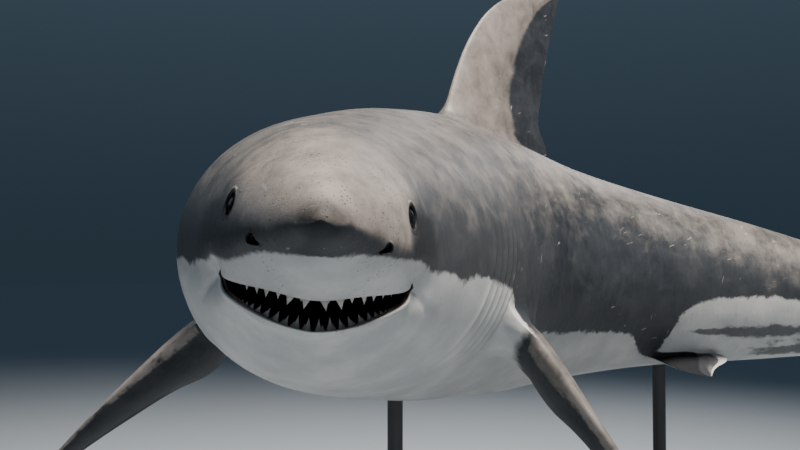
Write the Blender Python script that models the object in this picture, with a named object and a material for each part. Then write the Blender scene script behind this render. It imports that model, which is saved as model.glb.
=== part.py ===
"""Great white shark, life-size still model on a plain display stand.

The fish is an adult of 4.2 m.  Its body is one loft along a bent spine: the
head and the tail both swing toward its left, as in a tight turn.  The loft is
parted at a few rings into the head, gill region, trunk and tail stalk; the
lower jaw is parted from the head by a thin cut through the gape.  Fins are
lofts of wing sections, trimmed against the skin.  Units are metres, +Z is up,
the snout looks toward -Y and +X, the fish's left is +X.
"""
import bpy
import bmesh
import math
import numpy as np
from mathutils import Vector, Matrix

for _o in list(bpy.data.objects):
    bpy.data.objects.remove(_o, do_unlink=True)

TL = 4.2                  # total length of the fish along its spine, metres

# Stations along the body: place s (snout 0, tail tip 1), then height of the
# back and of the belly, half width, height of the widest line, and the
# roundness of the lower half of the section. All are fractions of TL.
STATIONS = (
    (0.000, 0.0000, 0.0000, 0.0000, 0.000, 2.00),
    (0.010, 0.0117, -0.0092, 0.0119, 0.000, 2.00),
    (0.030, 0.0259, -0.0196, 0.0272, -0.001, 1.95),
    (0.045, 0.0340, -0.0262, 0.0350, -0.002, 1.85),
    (0.057, 0.0395, -0.0316, 0.0402, -0.003, 1.80),
    (0.070, 0.0442, -0.0400, 0.0460, -0.004, 1.78),
    (0.085, 0.0502, -0.0510, 0.0514, -0.004, 1.80),
    (0.100, 0.0552, -0.0608, 0.0568, -0.004, 1.85),
    (0.120, 0.0602, -0.0700, 0.0655, -0.004, 1.92),
    (0.150, 0.0680, -0.0777, 0.0793, -0.004, 2.00),
    (0.200, 0.0799, -0.0870, 0.0935, -0.004, 2.00),
    (0.260, 0.0935, -0.0945, 0.0990, -0.003, 2.00),
    (0.330, 0.1010, -0.1000, 0.0979, -0.002, 2.00),
    (0.400, 0.0950, -0.0985, 0.0926, 0.000, 2.00),
    (0.480, 0.0800, -0.0850, 0.0821, 0.000, 2.00),
    (0.560, 0.0668, -0.0690, 0.0681, 0.000, 2.00),
    (0.640, 0.0540, -0.0550, 0.0510, 0.000, 2.00),
    (0.720, 0.0378, -0.0375, 0.0335, 0.000, 2.00),
    (0.780, 0.0237, -0.0233, 0.0205, 0.000, 2.00),
    (0.815, 0.0180, -0.0178, 0.0150, 0.000, 2.00),
    (0.830, 0.0205, -0.0205, 0.0125, 0.000, 1.90),
    (0.845, 0.0320, -0.0320, 0.0090, 0.000, 1.70),
    (0.862, 0.0490, -0.0480, 0.0066, 0.000, 1.60),
    (0.884, 0.0710, -0.0730, 0.0046, 0.000, 1.60),
    (0.905, 0.0905, -0.0955, 0.0032, 0.000, 1.60))
S_END = 0.905             # ring at the fork, where the two tail lobes part

# The spine in plan: heading of the body at each place (degrees, 0 = toward
# -Y, positive = toward +X, the fish's left), and its climb toward the snout.
YAW_S = (0.0, 0.12, 0.24, 0.36, 0.48, 0.60, 0.74, 1.0)
YAW = (74.2, 72.4, 52.5, 29.3, 0.2, -20.4, -27.4, -24.7)
CLIMB_S = (0.05, 0.30, 0.60, 1.0)
CLIMB = (3.07, 0.05, 2.74, 3.41)
S_MID = 0.45              # the spine point that the bank turns about
BANK_DIR = (-70.19, 2.43) # line of the bank axis: heading from +Y, and rise
BANK = 4.21               # the whole fish banks this much, degrees

# Mouth
MOUTH_S0, MOUTH_SC = 0.0555, 0.0935  # front of the lips, corner of the mouth
MOUTH_AC = 0.194                    # corner, as a turn from the belly line
JAW_OPEN = 15.5                     # degrees
JAW_HINGE_S = 0.101
# Gill slits: places of the five slits, top and foot as turns from the belly
GILL_S = (0.186, 0.202, 0.217, 0.231, 0.244)
GILL_A = (0.120, 0.318)
# Eye
EYE_S, EYE_V = 0.0660, 0.0103
EYE_R, EYE_OPEN = 0.0280, 0.0205    # ball radius and opening radius, metres
NOS_S, NOS_V, NOS_U = 0.0360, -0.0075, 0.0278


def spline(xs, ys):
    """Natural cubic spline through (xs, ys)."""
    xs = np.asarray(xs, float)
    ys = np.asarray(ys, float)
    n = len(xs)
    h = np.diff(xs)
    A = np.zeros((n, n))
    b = np.zeros(n)
    A[0, 0] = A[-1, -1] = 1
    for i in range(1, n - 1):
        A[i, i - 1], A[i, i], A[i, i + 1] = h[i - 1], 2 * (h[i - 1] + h[i]), h[i]
        b[i] = 6 * ((ys[i + 1] - ys[i]) / h[i] - (ys[i] - ys[i - 1]) / h[i - 1])
    m = np.linalg.solve(A, b)

    def f(x):
        x = np.asarray(x, float)
        i = np.clip(np.searchsorted(xs, x) - 1, 0, n - 2)
        a, c, H = xs[i + 1] - x, x - xs[i], h[i]
        return (m[i] * a ** 3 / (6 * H) + m[i + 1] * c ** 3 / (6 * H)
                + (ys[i] / H - m[i] * H / 6) * a + (ys[i + 1] / H - m[i + 1] * H / 6) * c)
    return f


def pchip(xs, ys):
    """Monotone cubic through (xs, ys): no overshoot between the points."""
    xs = np.asarray(xs, float)
    ys = np.asarray(ys, float)
    h = np.diff(xs)
    d = np.diff(ys) / h
    m = np.zeros(len(xs))
    for i in range(1, len(xs) - 1):
        if d[i - 1] * d[i] > 0:
            w1, w2 = 2 * h[i] + h[i - 1], h[i] + 2 * h[i - 1]
            m[i] = (w1 + w2) / (w1 / d[i - 1] + w2 / d[i])
    m[0], m[-1] = d[0], d[-1]

    def f(x):
        x = np.asarray(x, float)
        i = np.clip(np.searchsorted(xs, x) - 1, 0, len(xs) - 2)
        t = (x - xs[i]) / h[i]
        return ((1 + 2 * t) * (1 - t) ** 2 * ys[i] + t * (1 - t) ** 2 * h[i] * m[i]
                + t * t * (3 - 2 * t) * ys[i + 1] + t * t * (t - 1) * h[i] * m[i + 1])
    return f


def smooth(x, a, b):
    t = np.clip((np.asarray(x, float) - a) / (b - a), 0, 1)
    return t * t * (3 - 2 * t)


def bell(x, w):
    return np.exp(-(np.asarray(x, float) / w) ** 2)


_st = np.array(STATIONS)
_t = np.sqrt(_st[:, 0])
f_top, f_bot, f_hw = pchip(_t, _st[:, 1]), pchip(_t, _st[:, 2]), pchip(_t, _st[:, 3])
f_mid, f_pb = pchip(_t, _st[:, 4]), pchip(_t, _st[:, 5])


def make_spine(n=1201):
    S = np.linspace(0, 1, n)
    ps = np.radians(spline(YAW_S, YAW)(S))
    th = np.radians(spline(CLIMB_S, CLIMB)(np.clip(S, CLIMB_S[0], 1)))
    F = np.stack([np.sin(ps) * np.cos(th), -np.cos(ps) * np.cos(th), np.sin(th)], 1)
    L = np.stack([np.cos(ps), np.sin(ps), 0 * ps], 1)
    U = np.cross(F, L)
    d = -(F[1:] + F[:-1]) / 2 * (S[1] - S[0])
    P = np.vstack([[0, 0, 0], np.cumsum(d, 0)])
    P = P - np.array([np.interp(S_MID, S, P[:, k]) for k in range(3)])
    # bank the whole fish about one level line
    y, p = np.radians(BANK_DIR[0]), np.radians(BANK_DIR[1])
    k = np.array([np.sin(y) * np.cos(p), np.cos(y) * np.cos(p), np.sin(p)])
    c, s = np.cos(np.radians(BANK)), np.sin(np.radians(BANK))
    R = c * np.eye(3) + s * np.array([[0, -k[2], k[1]], [k[2], 0, -k[0]], [-k[1], k[0], 0]]) \
        + (1 - c) * np.outer(k, k)
    return S, P @ R.T * TL, F @ R.T, L @ R.T, U @ R.T


SP = make_spine()


def at_spine(s):
    S, P, F, L, U = SP
    g = lambda A: np.stack([np.interp(s, S, A[:, k]) for k in range(3)], -1)
    return g(P), g(F), g(L), g(U)


def bend(s, u, v):
    """From straight body places (fractions of TL) to metres on the bent spine."""
    s = np.asarray(s, float)
    P, F, L, U = at_spine(s)
    return P + L * (np.asarray(u) * TL)[..., None] + U * (np.asarray(v) * TL)[..., None]


def side_turn(a):
    """Turn from the belly line, 0 at the belly, 0.5 at the back, either side."""
    a = np.mod(a, 1.0)
    return np.minimum(a, 1 - a)


def mouth_g(x):
    """How far back the lip line runs, 0 at the front and 1 at the corner."""
    x = np.abs(x)
    return np.where(x < 1, x ** 3, 1.0) * (1 - smooth(x, 1.04, 1.95))


def ring_to_s(S, a):
    """Ring lines bow back with the lips, and lean with the gill slits."""
    S = np.asarray(S, float)
    q = side_turn(a)
    up = np.clip(S / MOUTH_S0, 0, 1)
    b = np.where(S < MOUTH_S0, up ** 1.6, 1 - smooth(S, MOUTH_S0, 0.185))
    s = S + (MOUTH_SC - MOUTH_S0) * mouth_g(q / MOUTH_AC) * b
    bg = smooth(S, 0.160, 0.186) * (1 - smooth(S, 0.246, 0.285))
    lean = 0.010 * (q - 0.22) / 0.1 + 0.004 * ((q - 0.22) / 0.1) ** 2
    return s + bg * np.clip(lean, -0.012, 0.016) * smooth(q, 0.0, 0.14) * (1 - smooth(q, 0.34, 0.48))


def section(s, a):
    s = np.asarray(s, float)
    t = np.sqrt(np.clip(s, 0, None))
    th = 2 * np.pi * np.asarray(a, float)
    top, bot, w, m, pb = f_top(t), f_bot(t), f_hw(t), f_mid(t), f_pb(t)
    c, sn = np.cos(th), np.sin(th)
    p = np.where(c < 0, 2.0, pb)
    h = np.where(c < 0, top - m, m - bot)
    u = w * np.sign(sn) * np.abs(sn) ** (2 / p)
    v = m - h * np.sign(c) * np.abs(c) ** (2 / p)
    return u, v


def relief(S, s, a, fine=1.0):
    """Outward relief over the plain section, in metres."""
    q = side_turn(a)
    d = np.zeros(np.broadcast(S, a).shape)
    # keel along each side of the tail stalk
    d = d + 0.042 * bell(q - 0.25, 0.030) * smooth(s, 0.735, 0.80) * (1 - smooth(s, 0.838, 0.862))
    # brow over the eye, and a shallow hollow round the eye
    d = d + 0.0055 * bell(s - 0.069, 0.016) * bell(q - 0.335, 0.030)
    d = d - 0.0030 * bell(s - EYE_S, 0.010) * bell(q - 0.295, 0.026)
    # cheek behind the corner of the mouth, and the recess at the corner
    d = d - 0.018 * bell(s - MOUTH_SC, 0.011) * bell(q - MOUTH_AC, 0.022)
    d = d + 0.006 * bell(s - 0.122, 0.014) * bell(q - 0.185, 0.045)
    # the lower jaw's corner bulges below the fold that runs back from the corner
    d = d + 0.010 * bell(s - 0.100, 0.011) * bell(q - 0.150, 0.020)
    x = np.clip((s - 0.0965) / 0.019, 0, 1)
    fold = np.hypot((s - 0.0965 - 0.019 * x) * TL, (q - (MOUTH_AC - 0.006 - 0.016 * x)) * 1.45)
    d = d - 0.0060 * fine * bell(fold, 0.0070) * (1 - 0.6 * x)
    # lips: a low roll either side of the slit
    on = 1 - smooth(q, MOUTH_AC * 0.80, MOUTH_AC * 1.02)
    lip = (s - (MOUTH_S0 + (MOUTH_SC - MOUTH_S0) * mouth_g(q / MOUTH_AC))) * TL
    d = d + 0.0012 * fine * on * bell(lip + 0.012, 0.012) * (lip < 0)
    d = d + 0.0035 * fine * on * bell(lip - 0.012, 0.012) * (lip >= 0)
    # the chin is full under the middle of the lower lip
    d = d + 0.010 * (1 - smooth(q, 0.075, 0.160)) * bell(lip - 0.024, 0.022) * (lip >= 0)
    # gill slits: the flap ahead stands a little proud, then the skin drops in
    ga, gb = GILL_A
    for k, g in enumerate(GILL_S):
        top = gb - 0.006 * k
        foot = ga + 0.004 * k
        e = smooth(q, foot - 0.010, foot + 0.018) * (1 - smooth(q, top - 0.018, top + 0.008))
        x = (S - g) * TL
        d = d + e * np.where(x < 0, 0.0050 * np.exp(x / 0.018), 0.0050 * np.exp(-x / 0.006))
    # shoulder swell behind the last slit
    d = d + 0.010 * bell(s - 0.285, 0.030) * bell(q - 0.19, 0.05)
    return d


def jaw_drop(S, s, a, u, v):
    """Swing of the lower jaw about its hinge, for rings behind the slit."""
    q = side_turn(a)
    w = (S > MOUTH_S0) * (1 - smooth(q, MOUTH_AC * 0.97, MOUTH_AC * 1.25))
    r = JAW_HINGE_S - s
    r = 0.5 * (r + np.sqrt(r * r + 0.006 ** 2))
    k = np.tan(np.radians(JAW_OPEN))
    return s + 0.12 * k * r * w, v - k * r * w


def body_at(S, a, fine=1.0):
    """Point of the skin for ring S and turn a: metres, and straight place."""
    S, a = np.broadcast_arrays(np.asarray(S, float), np.asarray(a, float))
    s = ring_to_s(S, a)
    u, v = section(s, a)
    t = np.sqrt(np.clip(s, 1e-9, None))
    w, m = np.maximum(f_hw(t), 1e-5), f_mid(t)
    h = np.maximum(np.where(v > m, f_top(t) - m, m - f_bot(t)), 1e-5)
    nx, ny = u / w ** 2, (v - m) / h ** 2
    nn = np.hypot(nx, ny) + 1e-9
    d = relief(S, s, a, fine) / TL * smooth(s, 0.0, 0.02)
    u, v = u + d * nx / nn, v + d * ny / nn
    s, v = jaw_drop(S, s, a, u, v)
    # the section pinches at the fork
    pin = smooth(s, 0.835, S_END)
    f = 1 - pin * 0.55 * bell(v / 0.016, 1.0)
    u = u * f
    return bend(s, u, v), np.stack([s, u, v], -1)


def find_ring(s_want, a):
    """Ring value S whose line passes s_want at the turn a."""
    lo, hi = 0.0, 1.0
    for _ in range(50):
        m = (lo + hi) / 2
        if float(ring_to_s(m, a)) < s_want:
            lo = m
        else:
            hi = m
    return (lo + hi) / 2


def turn_for(s, v, side=1):
    """Turn whose point on section s has the height v."""
    lo, hi = 0.0, 0.5
    for _ in range(50):
        m = (lo + hi) / 2
        if float(section(s, m)[1]) < v:
            lo = m
        else:
            hi = m
    a = (lo + hi) / 2
    return a if side > 0 else 1 - a


# ---- fins -------------------------------------------------------------------
# Outlines in the plane of each fin: x back along the root, y out, as
# fractions of TL, front edge and rear edge from root to tip.
PEC_LE = ((0, 0), (.012, .035), (.033, .075), (.064, .118), (.098, .152), (.128, .172))
PEC_TE = ((.066, 0), (.092, .018), (.098, .028), (.094, .045), (.094, .080), (.103, .120),
          (.117, .152), (.1295, .1725))
D1_LE = ((0, 0), (.0040, .018), (.0115, .050), (.0215, .0755), (.0345, .0965), (.051, .1130),
         (.072, .1265), (.092, .1350), (.1095, .1390))
D1_TE = ((.098, 0), (.113, .0045), (.1125, .009), (.103, .022), (.1005, .045), (.102, .070),
         (.1045, .098), (.1080, .120), (.1115, .1382))
D2_LE = ((0, 0), (.0060, .0065), (.0130, .0120), (.0180, .0140))
D2_TE = ((.016, 0), (.025, .0030), (.0255, .0040), (.0190, .0085), (.0190, .0136))
AN_LE = ((0, 0), (.0065, .0075), (.0140, .0135), (.0195, .0160))
AN_TE = ((.016, 0), (.025, .0030), (.0255, .0042), (.0195, .0100), (.0205, .0156))
PV_LE = ((0, 0), (.0120, .0140), (.0270, .0280), (.0370, .0340))
PV_TE = ((.050, 0), (.064, .0050), (.0650, .0085), (.0520, .0200), (.0395, .0338))
# tail lobes in the side plane: s and height, from the fork ring to the tips
CU_LE = ((.905, .0905), (.927, .1090), (.952, .1275), (.980, .1465), (1.000, .1590))
CU_TE = ((.905, .0010), (.914, .0120), (.924, .0320), (.938, .0620), (.955, .0930), (.972, .1190),
         (.978, .1320), (.987, .1440), (.9985, .1575))
CL_LE = ((.905, -.0955), (.922, -.1100), (.940, -.1240), (.957, -.1360))
CL_TE = ((.905, -.0010), (.911, -.0120), (.916, -.0320), (.925, -.0640), (.938, -.0980), (.9565, -.1350))


def curve2(pts):
    pts = np.array(pts, float)
    d = np.r_[0, np.cumsum(np.hypot(*np.diff(pts, axis=0).T))]
    d /= d[-1]
    fx, fy = spline(d, pts[:, 0]), spline(d, pts[:, 1])
    return lambda w: np.stack([fx(w), fy(w)], -1)


def turn_about(v, k, t):
    k = k / np.linalg.norm(k)
    return v * np.cos(t) + np.cross(k, v) * np.sin(t) + k * (k @ v) * (1 - np.cos(t))


def fin_frame(s, a, length, sweep, drop, twist, upright):
    """Root point, chord, span and thickness directions of a fin on the skin."""
    P0, F0, L0, U0 = at_spine(s)
    u, v = section(s, a)
    O = P0 + L0 * float(u) * TL + U0 * float(v) * TL
    P1, _, L1, U1 = at_spine(s + length)
    u1, v1 = section(s + length, a)
    O1 = P1 + L1 * float(u1) * TL + U1 * float(v1) * TL
    cx = O1 - O
    cx = cx / np.linalg.norm(cx)
    base = {"up": U0, "down": -U0, "left": L0, "right": -L0}[upright]
    y = base - cx * (base @ cx)
    y /= np.linalg.norm(y)
    n = np.cross(cx, y)
    y, n = turn_about(y, cx, drop), turn_about(n, cx, drop)
    c, y = turn_about(cx, n, sweep), turn_about(y, n, sweep)
    c, n = turn_about(c, y, twist), turn_about(n, y, twist)
    return O, c, y, n


def wing(x, t):
    """Half thickness of a fin section at chord fraction x, thickness ratio t."""
    return t / 0.2 * (0.2969 * np.sqrt(x) - 0.1260 * x - 0.3516 * x ** 2
                      + 0.2843 * x ** 3 - 0.1015 * x ** 4)


FINS = {
    # name: ring place, turn, outline, root length, sweep, drop, twist (deg),
    # scale, thickness at root and tip, how it thins, droop of the rear edge,
    # droop of the tip, root direction
    "pectoral_fin_left": dict(s=.2573, a=.210, le=PEC_LE, te=PEC_TE, root=.066, sweep=18.0, drop=36.8,
                              twist=-32.8, k=.975, tr=.24, tt=.10, thin=1.3, cam=-.045, sag=-.010, way="left"),
    "pectoral_fin_right": dict(s=.2490, a=.812, le=PEC_LE, te=PEC_TE, root=.066, sweep=35.7, drop=-43.7,
                               twist=3.2, k=1.058, tr=.24, tt=.10, thin=1.3, cam=.045, sag=.010, way="right"),
    "first_dorsal_fin": dict(s=.3470, a=.500, le=D1_LE, te=D1_TE, root=.098, sweep=0.0, drop=-6.0,
                             twist=0.0, k=1.03, tr=.115, tt=.050, sag=0.0, way="up"),
    "second_dorsal_fin": dict(s=.7180, a=.500, le=D2_LE, te=D2_TE, root=.016, sweep=0.0, drop=0.0,
                              twist=0.0, k=1.0, tr=.16, tt=.07, sag=0.0, way="up"),
    "anal_fin": dict(s=.7360, a=.000, le=AN_LE, te=AN_TE, root=.016, sweep=0.0, drop=0.0,
                     twist=0.0, k=1.0, tr=.16, tt=.07, sag=0.0, way="down"),
    "pelvic_fin_left": dict(s=.5500, a=.091, le=PV_LE, te=PV_TE, root=.050, sweep=0.0, drop=30.0,
                            twist=0.0, k=0.93, tr=.11, tt=.05, sag=-.002, way="left"),
    "pelvic_fin_right": dict(s=.5500, a=.909, le=PV_LE, te=PV_TE, root=.050, sweep=0.0, drop=-30.0,
                             twist=0.0, k=0.93, tr=.11, tt=.05, sag=.002, way="right"),
}


def fin_sections(name, phi, n_out, n_fill, border, inward, edge=0.0012):
    """Rings of a fin: fillet from the border on the skin, then sections.

    phi is 0 at the front edge and pi at the rear edge of each side, signed by
    side; border is the loop on the skin, inward the skin direction toward the
    fin at each of its points."""
    f = FINS[name]
    O, c, y, n = fin_frame(f["s"], f["a"], f["root"] * f["k"], *np.radians([f["sweep"], f["drop"], f["twist"]]),
                           f["way"])
    le, te = curve2(f["le"]), curve2(f["te"])
    k = f["k"] * TL
    w0 = 0.16
    ws = w0 + (1 - w0) * (1 - (1 - np.linspace(0, 1, n_out)) ** 1.35)
    x = (1 - np.cos(phi)) / 2
    sd = np.sign(np.sin(phi))
    out = []
    for w in ws:
        A, B = le(w), te(w)
        t = f["tr"] + (f["tt"] - f["tr"]) * w ** f.get("thin", 0.8)
        ch = max(np.hypot(*(B - A)), 1e-4) * k
        half = wing(x, t) * ch
        half = np.maximum(half, edge * np.minimum(1.0, 6 * (1 - np.abs(2 * x - 1)) + 0.25 * (x > .5)))
        p = A + (B - A) * x[:, None]
        mid = O + c * (p[:, :1] * k) + y * (p[:, 1:] * k) + n * (f["sag"] * TL * w * w)
        mid = mid + n * (f.get("cam", 0.0) * ch * x * x)[:, None]
        out.append(mid + n * (half * sd)[:, None])
    Q = out[0]
    span = out[1] - out[0]
    span /= np.linalg.norm(span, axis=1)[:, None]
    dist = np.linalg.norm(Q - border, axis=1)[:, None]
    fill = []
    for t in np.linspace(0, 1, n_fill + 2)[1:-1]:
        h00, h10 = 2 * t ** 3 - 3 * t ** 2 + 1, t ** 3 - 2 * t ** 2 + t
        h01, h11 = -2 * t ** 3 + 3 * t ** 2, t ** 3 - t ** 2
        fill.append(h00 * border + h10 * inward * dist * 0.9 + h01 * Q + h11 * span * dist * 1.1)
    return fill + out


def loop_phi(m, n, eps=0.10):
    """Loop round a block of m rings by n columns, from the middle of its front
    edge: (ring step, column step, phi) for each vertex."""
    out = []
    h = n // 2
    for j in range(0, h + 1):
        out.append((0, h + j, eps * np.pi * j / h))
    for i in range(1, m):
        out.append((i, n, np.pi * (eps + (1 - 2 * eps) * i / m)))
    for j in range(h, -h - 1, -1):
        p = np.pi * (1 - eps * abs(j) / h)
        out.append((m, h + j, p if j > 0 else -p if j < 0 else np.pi))
    for i in range(m - 1, 0, -1):
        out.append((i, 0, -np.pi * (eps + (1 - 2 * eps) * i / m)))
    for j in range(-h, 0):
        out.append((0, h + j, -eps * np.pi * abs(j) / h))
    return out


class Shape:
    """Growing mesh: vertices, faces, and a straight-body place per vertex."""
    def __init__(self):
        self.v, self.f, self.r, self.g = [], [], [], []

    def add(self, pts, rest=None, tag=0.0):
        i = len(self.v)
        pts = np.asarray(pts).reshape(-1, 3)
        rest = pts if rest is None else np.asarray(rest).reshape(-1, 3)
        self.v.extend(pts.tolist())
        self.r.extend(rest.tolist())
        self.g.extend([tag] * len(pts))
        return list(range(i, i + len(pts)))

    def bridge(self, a, b, closed=True):
        n = len(a)
        for k in range(n if closed else n - 1):
            l = (k + 1) % n
            self.f.append((a[k], a[l], b[l], b[k]))

    def fan(self, ring, centre):
        n = len(ring)
        for k in range(n):
            self.f.append((ring[k], ring[(k + 1) % n], centre))


def build_mesh(name, sh):
    me = bpy.data.meshes.new(name)
    used = np.zeros(len(sh.v), bool)
    for f in sh.f:
        used[list(f)] = True
    idx = np.cumsum(used) - 1
    v = np.array(sh.v)[used]
    me.from_pydata(v.tolist(), [], [tuple(int(idx[i]) for i in f) for f in sh.f])
    me.validate()
    me.update()
    return me, used

# ---- construction of the solids ---------------------------------------------
GAP = 0.0003              # clearance between touching solids, metres
BODY_HEIGHT = 1.02        # height of the spine point S_MID over the floor
BASE = (1.75, 1.10, 0.030)  # display base: length, width, thickness
BASE_AT = (0.16, 0.0)     # its centre, from the spine point S_MID
ROD_R = 0.022
RODS = (("stand_rod_front", 0.300), ("stand_rod_rear", 0.565))

N_LIP, N_CHEEK, N_BACK = 7, 2, 8    # columns: belly to lip corner, to side, to back

SKIN_TOP, SKIN_BELLY = (0.105, 0.115, 0.125, 1), (0.72, 0.72, 0.70, 1)
COLOURS = {
    "skin_back": (SKIN_TOP, 0.42, 0.0), "skin_belly": (SKIN_BELLY, 0.45, 0.0),
    "eye": ((0.006, 0.006, 0.008, 1), 0.08, 0.0),
    "stand_steel": ((0.10, 0.105, 0.11, 1), 0.38, 1.0),
}

parts = bpy.data.collections.new("great_white_shark")
cutters = bpy.data.collections.new("cutters")
for c in (parts, cutters):
    bpy.context.scene.collection.children.link(c)


def material(name, key):
    m = bpy.data.materials.new(name)
    m.use_nodes = True
    col, rough, metal = COLOURS[key]
    p = m.node_tree.nodes["Principled BSDF"]
    p.inputs["Base Color"].default_value = col
    p.inputs["Roughness"].default_value = rough
    p.inputs["Metallic"].default_value = metal
    m.diffuse_color = col
    return m


def new_object(name, me, key, coll=None):
    ob = bpy.data.objects.new(name, me)
    (coll or parts).objects.link(ob)
    me.materials.clear()
    me.materials.append(material(name, key))
    bm = bmesh.new()
    bm.from_mesh(me)
    bmesh.ops.triangulate(bm, faces=bm.faces)
    bmesh.ops.recalc_face_normals(bm, faces=bm.faces)
    bm.to_mesh(me)
    bm.free()
    me.shade_smooth()
    me.set_sharp_from_angle(angle=math.radians(50))
    return ob


def make_cutter(ob):
    for c in list(ob.users_collection):
        c.objects.unlink(ob)
    cutters.objects.link(ob)
    ob.hide_render = True
    ob.display_type = 'WIRE'
    return ob


def boolean(ob, cutter, op):
    m = ob.modifiers.new(op.lower(), 'BOOLEAN')
    m.operation = op
    m.solver = 'EXACT'
    m.object = cutter
    return m


half = np.r_[np.linspace(0, MOUTH_AC, N_LIP + 1)[:-1], np.linspace(MOUTH_AC, .25, N_CHEEK + 1)[:-1],
             np.linspace(.25, .5, N_BACK + 1)]
COLS = np.r_[half, (1 - half[1:-1])[::-1]]       # turns, from the belly line round the left side
NC = len(COLS)
LIP = MOUTH_S0
HEAD_RINGS = (.004, .010, .018, .028, .040, LIP - .0006, LIP + .0006, .067, .080, .096, .116,
              .140, .168)
GILL_RINGS = (.168, .198, .230, .262)
FRONT_RINGS = (.262, .292, .322, .354, .388, .422, .455)
REAR_RINGS = (.455, .489, .524, .559, .594, .629, .664, .698)
STALK_RINGS = (.698, .725, .752, .776, .798, .815, .829, .845, .862, .884, S_END)


def ring(S, swell=0.0):
    p, r = body_at(np.full(NC, S), COLS, fine=0.0)
    if swell:
        q, _ = body_at(np.full(NC, min(S + .002, 1)), COLS, fine=0.0)
        back = q - p
        around = np.roll(p, -1, 0) - np.roll(p, 1, 0)
        n = np.cross(around, back)
        n /= np.linalg.norm(n, axis=1)[:, None]
        c = p.mean(0)
        if ((p - c) * n).sum() < 0:
            n = -n
        p = p + n * swell
    return p


def tube(rings, swell=0.0, gap=0.0, tip=False, pocket=False):
    """Closed loft through the rings, capped at its ends."""
    sh = Shape()
    rows = []
    for k, S in enumerate(rings):
        p = ring(S, swell)
        _, F, _, _ = at_spine(S)
        if k == 0 and not tip:
            p = p - F * gap / 2
        if k == len(rings) - 1:
            p = p + F * gap / 2
        rows.append(sh.add(p))
    for k in range(len(rows) - 1):
        a, b = rows[k], rows[k + 1]
        slit = pocket and abs(rings[k] - (LIP - .0006)) < 1e-9
        for j in range(NC):
            l = (j + 1) % NC
            q = max(side_turn(COLS[j]), side_turn(COLS[l]) if COLS[l] or True else 0)
            if slit and q <= MOUTH_AC + 1e-9:
                continue
            sh.f.append((a[j], a[l], b[l], b[j]))
        if slit:
            mouth_pocket(sh, a, b)
    first = rows[0]
    if tip:
        t = bend(0.0, 0.0, 0.0)
        c = sh.add(t)[0]
    else:
        c = sh.add(np.array([sh.v[i] for i in first]).mean(0))[0]
    sh.fan(first, c)
    c = sh.add(np.array([sh.v[i] for i in rows[-1]]).mean(0))[0]
    sh.fan(rows[-1], c)
    return sh


def mouth_pocket(sh, up, lo):
    """Cavity behind the lips: loops that run back from the gape and close."""
    n = N_LIP
    js = [(-n + i) % NC for i in range(2 * n + 1)]
    x = np.linspace(-1, 1, 2 * n + 1)
    loop = [up[j] for j in js] + [lo[j] for j in reversed(js)]
    E = np.array([sh.v[i] for i in loop])
    us = 0.029 * np.sin(x * np.pi / 2)
    s_back = 0.108 - 0.030 * (1 - np.abs(x) ** 2.5) * 0.0
    Tu = bend(np.full(len(x), s_back), us, -0.0135 + 0.0025 * (1 - x ** 2))
    Tl = bend(np.full(len(x), s_back), us[::-1], -0.0270 - 0.0020 * (1 - x ** 2))
    T = np.vstack([Tu, Tl])
    prev = loop
    for t in (0.3, 1.0):
        cur = sh.add(E + (T - E) * t)
        for k in range(len(loop)):
            l = (k + 1) % len(loop)
            sh.f.append((prev[k], prev[l], cur[l], cur[k]))
        prev = cur
    m = 2 * n + 1
    for k in range(m - 1):
        sh.f.append((prev[k], prev[k + 1], prev[2 * m - 2 - k], prev[2 * m - 1 - k]))


def from_shape(name, sh, key, coll=None):
    me, _ = build_mesh(name, sh)
    return new_object(name, me, key, coll)


# trunk pieces
gill = from_shape("gill_region", tube(GILL_RINGS, gap=GAP), "skin_back")
trunk_front = from_shape("trunk_front", tube(FRONT_RINGS, gap=GAP), "skin_back")
trunk_rear = from_shape("trunk_rear", tube(REAR_RINGS, gap=GAP), "skin_back")
stalk = from_shape("tail_stalk", tube(STALK_RINGS, gap=GAP), "skin_back")

# a slightly swollen whole body trims what stands on the skin
ALL = HEAD_RINGS + GILL_RINGS[1:] + FRONT_RINGS[1:] + REAR_RINGS[1:] + STALK_RINGS[1:]
swollen = make_cutter(from_shape("body_swollen", tube(ALL, swell=GAP, tip=True), "skin_back"))

# head and lower jaw
head = from_shape("head", tube(HEAD_RINGS, gap=GAP, tip=True, pocket=True), "skin_back")


def jaw_block(name, grow):
    """Wedge under the gape: its top follows the line of the lips."""
    a = (.030, -.0450), (.118, -.0156), (.118, -.130), (.030, -.130)
    k = grow / TL
    a = [(a[0][0] - k, a[0][1] + k), (a[1][0] + k, a[1][1] + k + 0.335 * k), (a[2][0] + k, a[2][1] - k),
         (a[3][0] - k, a[3][1] - k)]
    bm = bmesh.new()
    rows = []
    for u in (-.090, .090):
        rows.append([bm.verts.new(Vector(bend(s, u + np.sign(u) * k, v))) for s, v in a])
    bm.faces.new(rows[0])
    bm.faces.new(rows[1][::-1])
    for i in range(4):
        j = (i + 1) % 4
        bm.faces.new((rows[0][j], rows[0][i], rows[1][i], rows[1][j]))
    me = bpy.data.meshes.new(name)
    bm.to_mesh(me)
    bm.free()
    return make_cutter(new_object(name, me, "skin_belly"))


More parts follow.
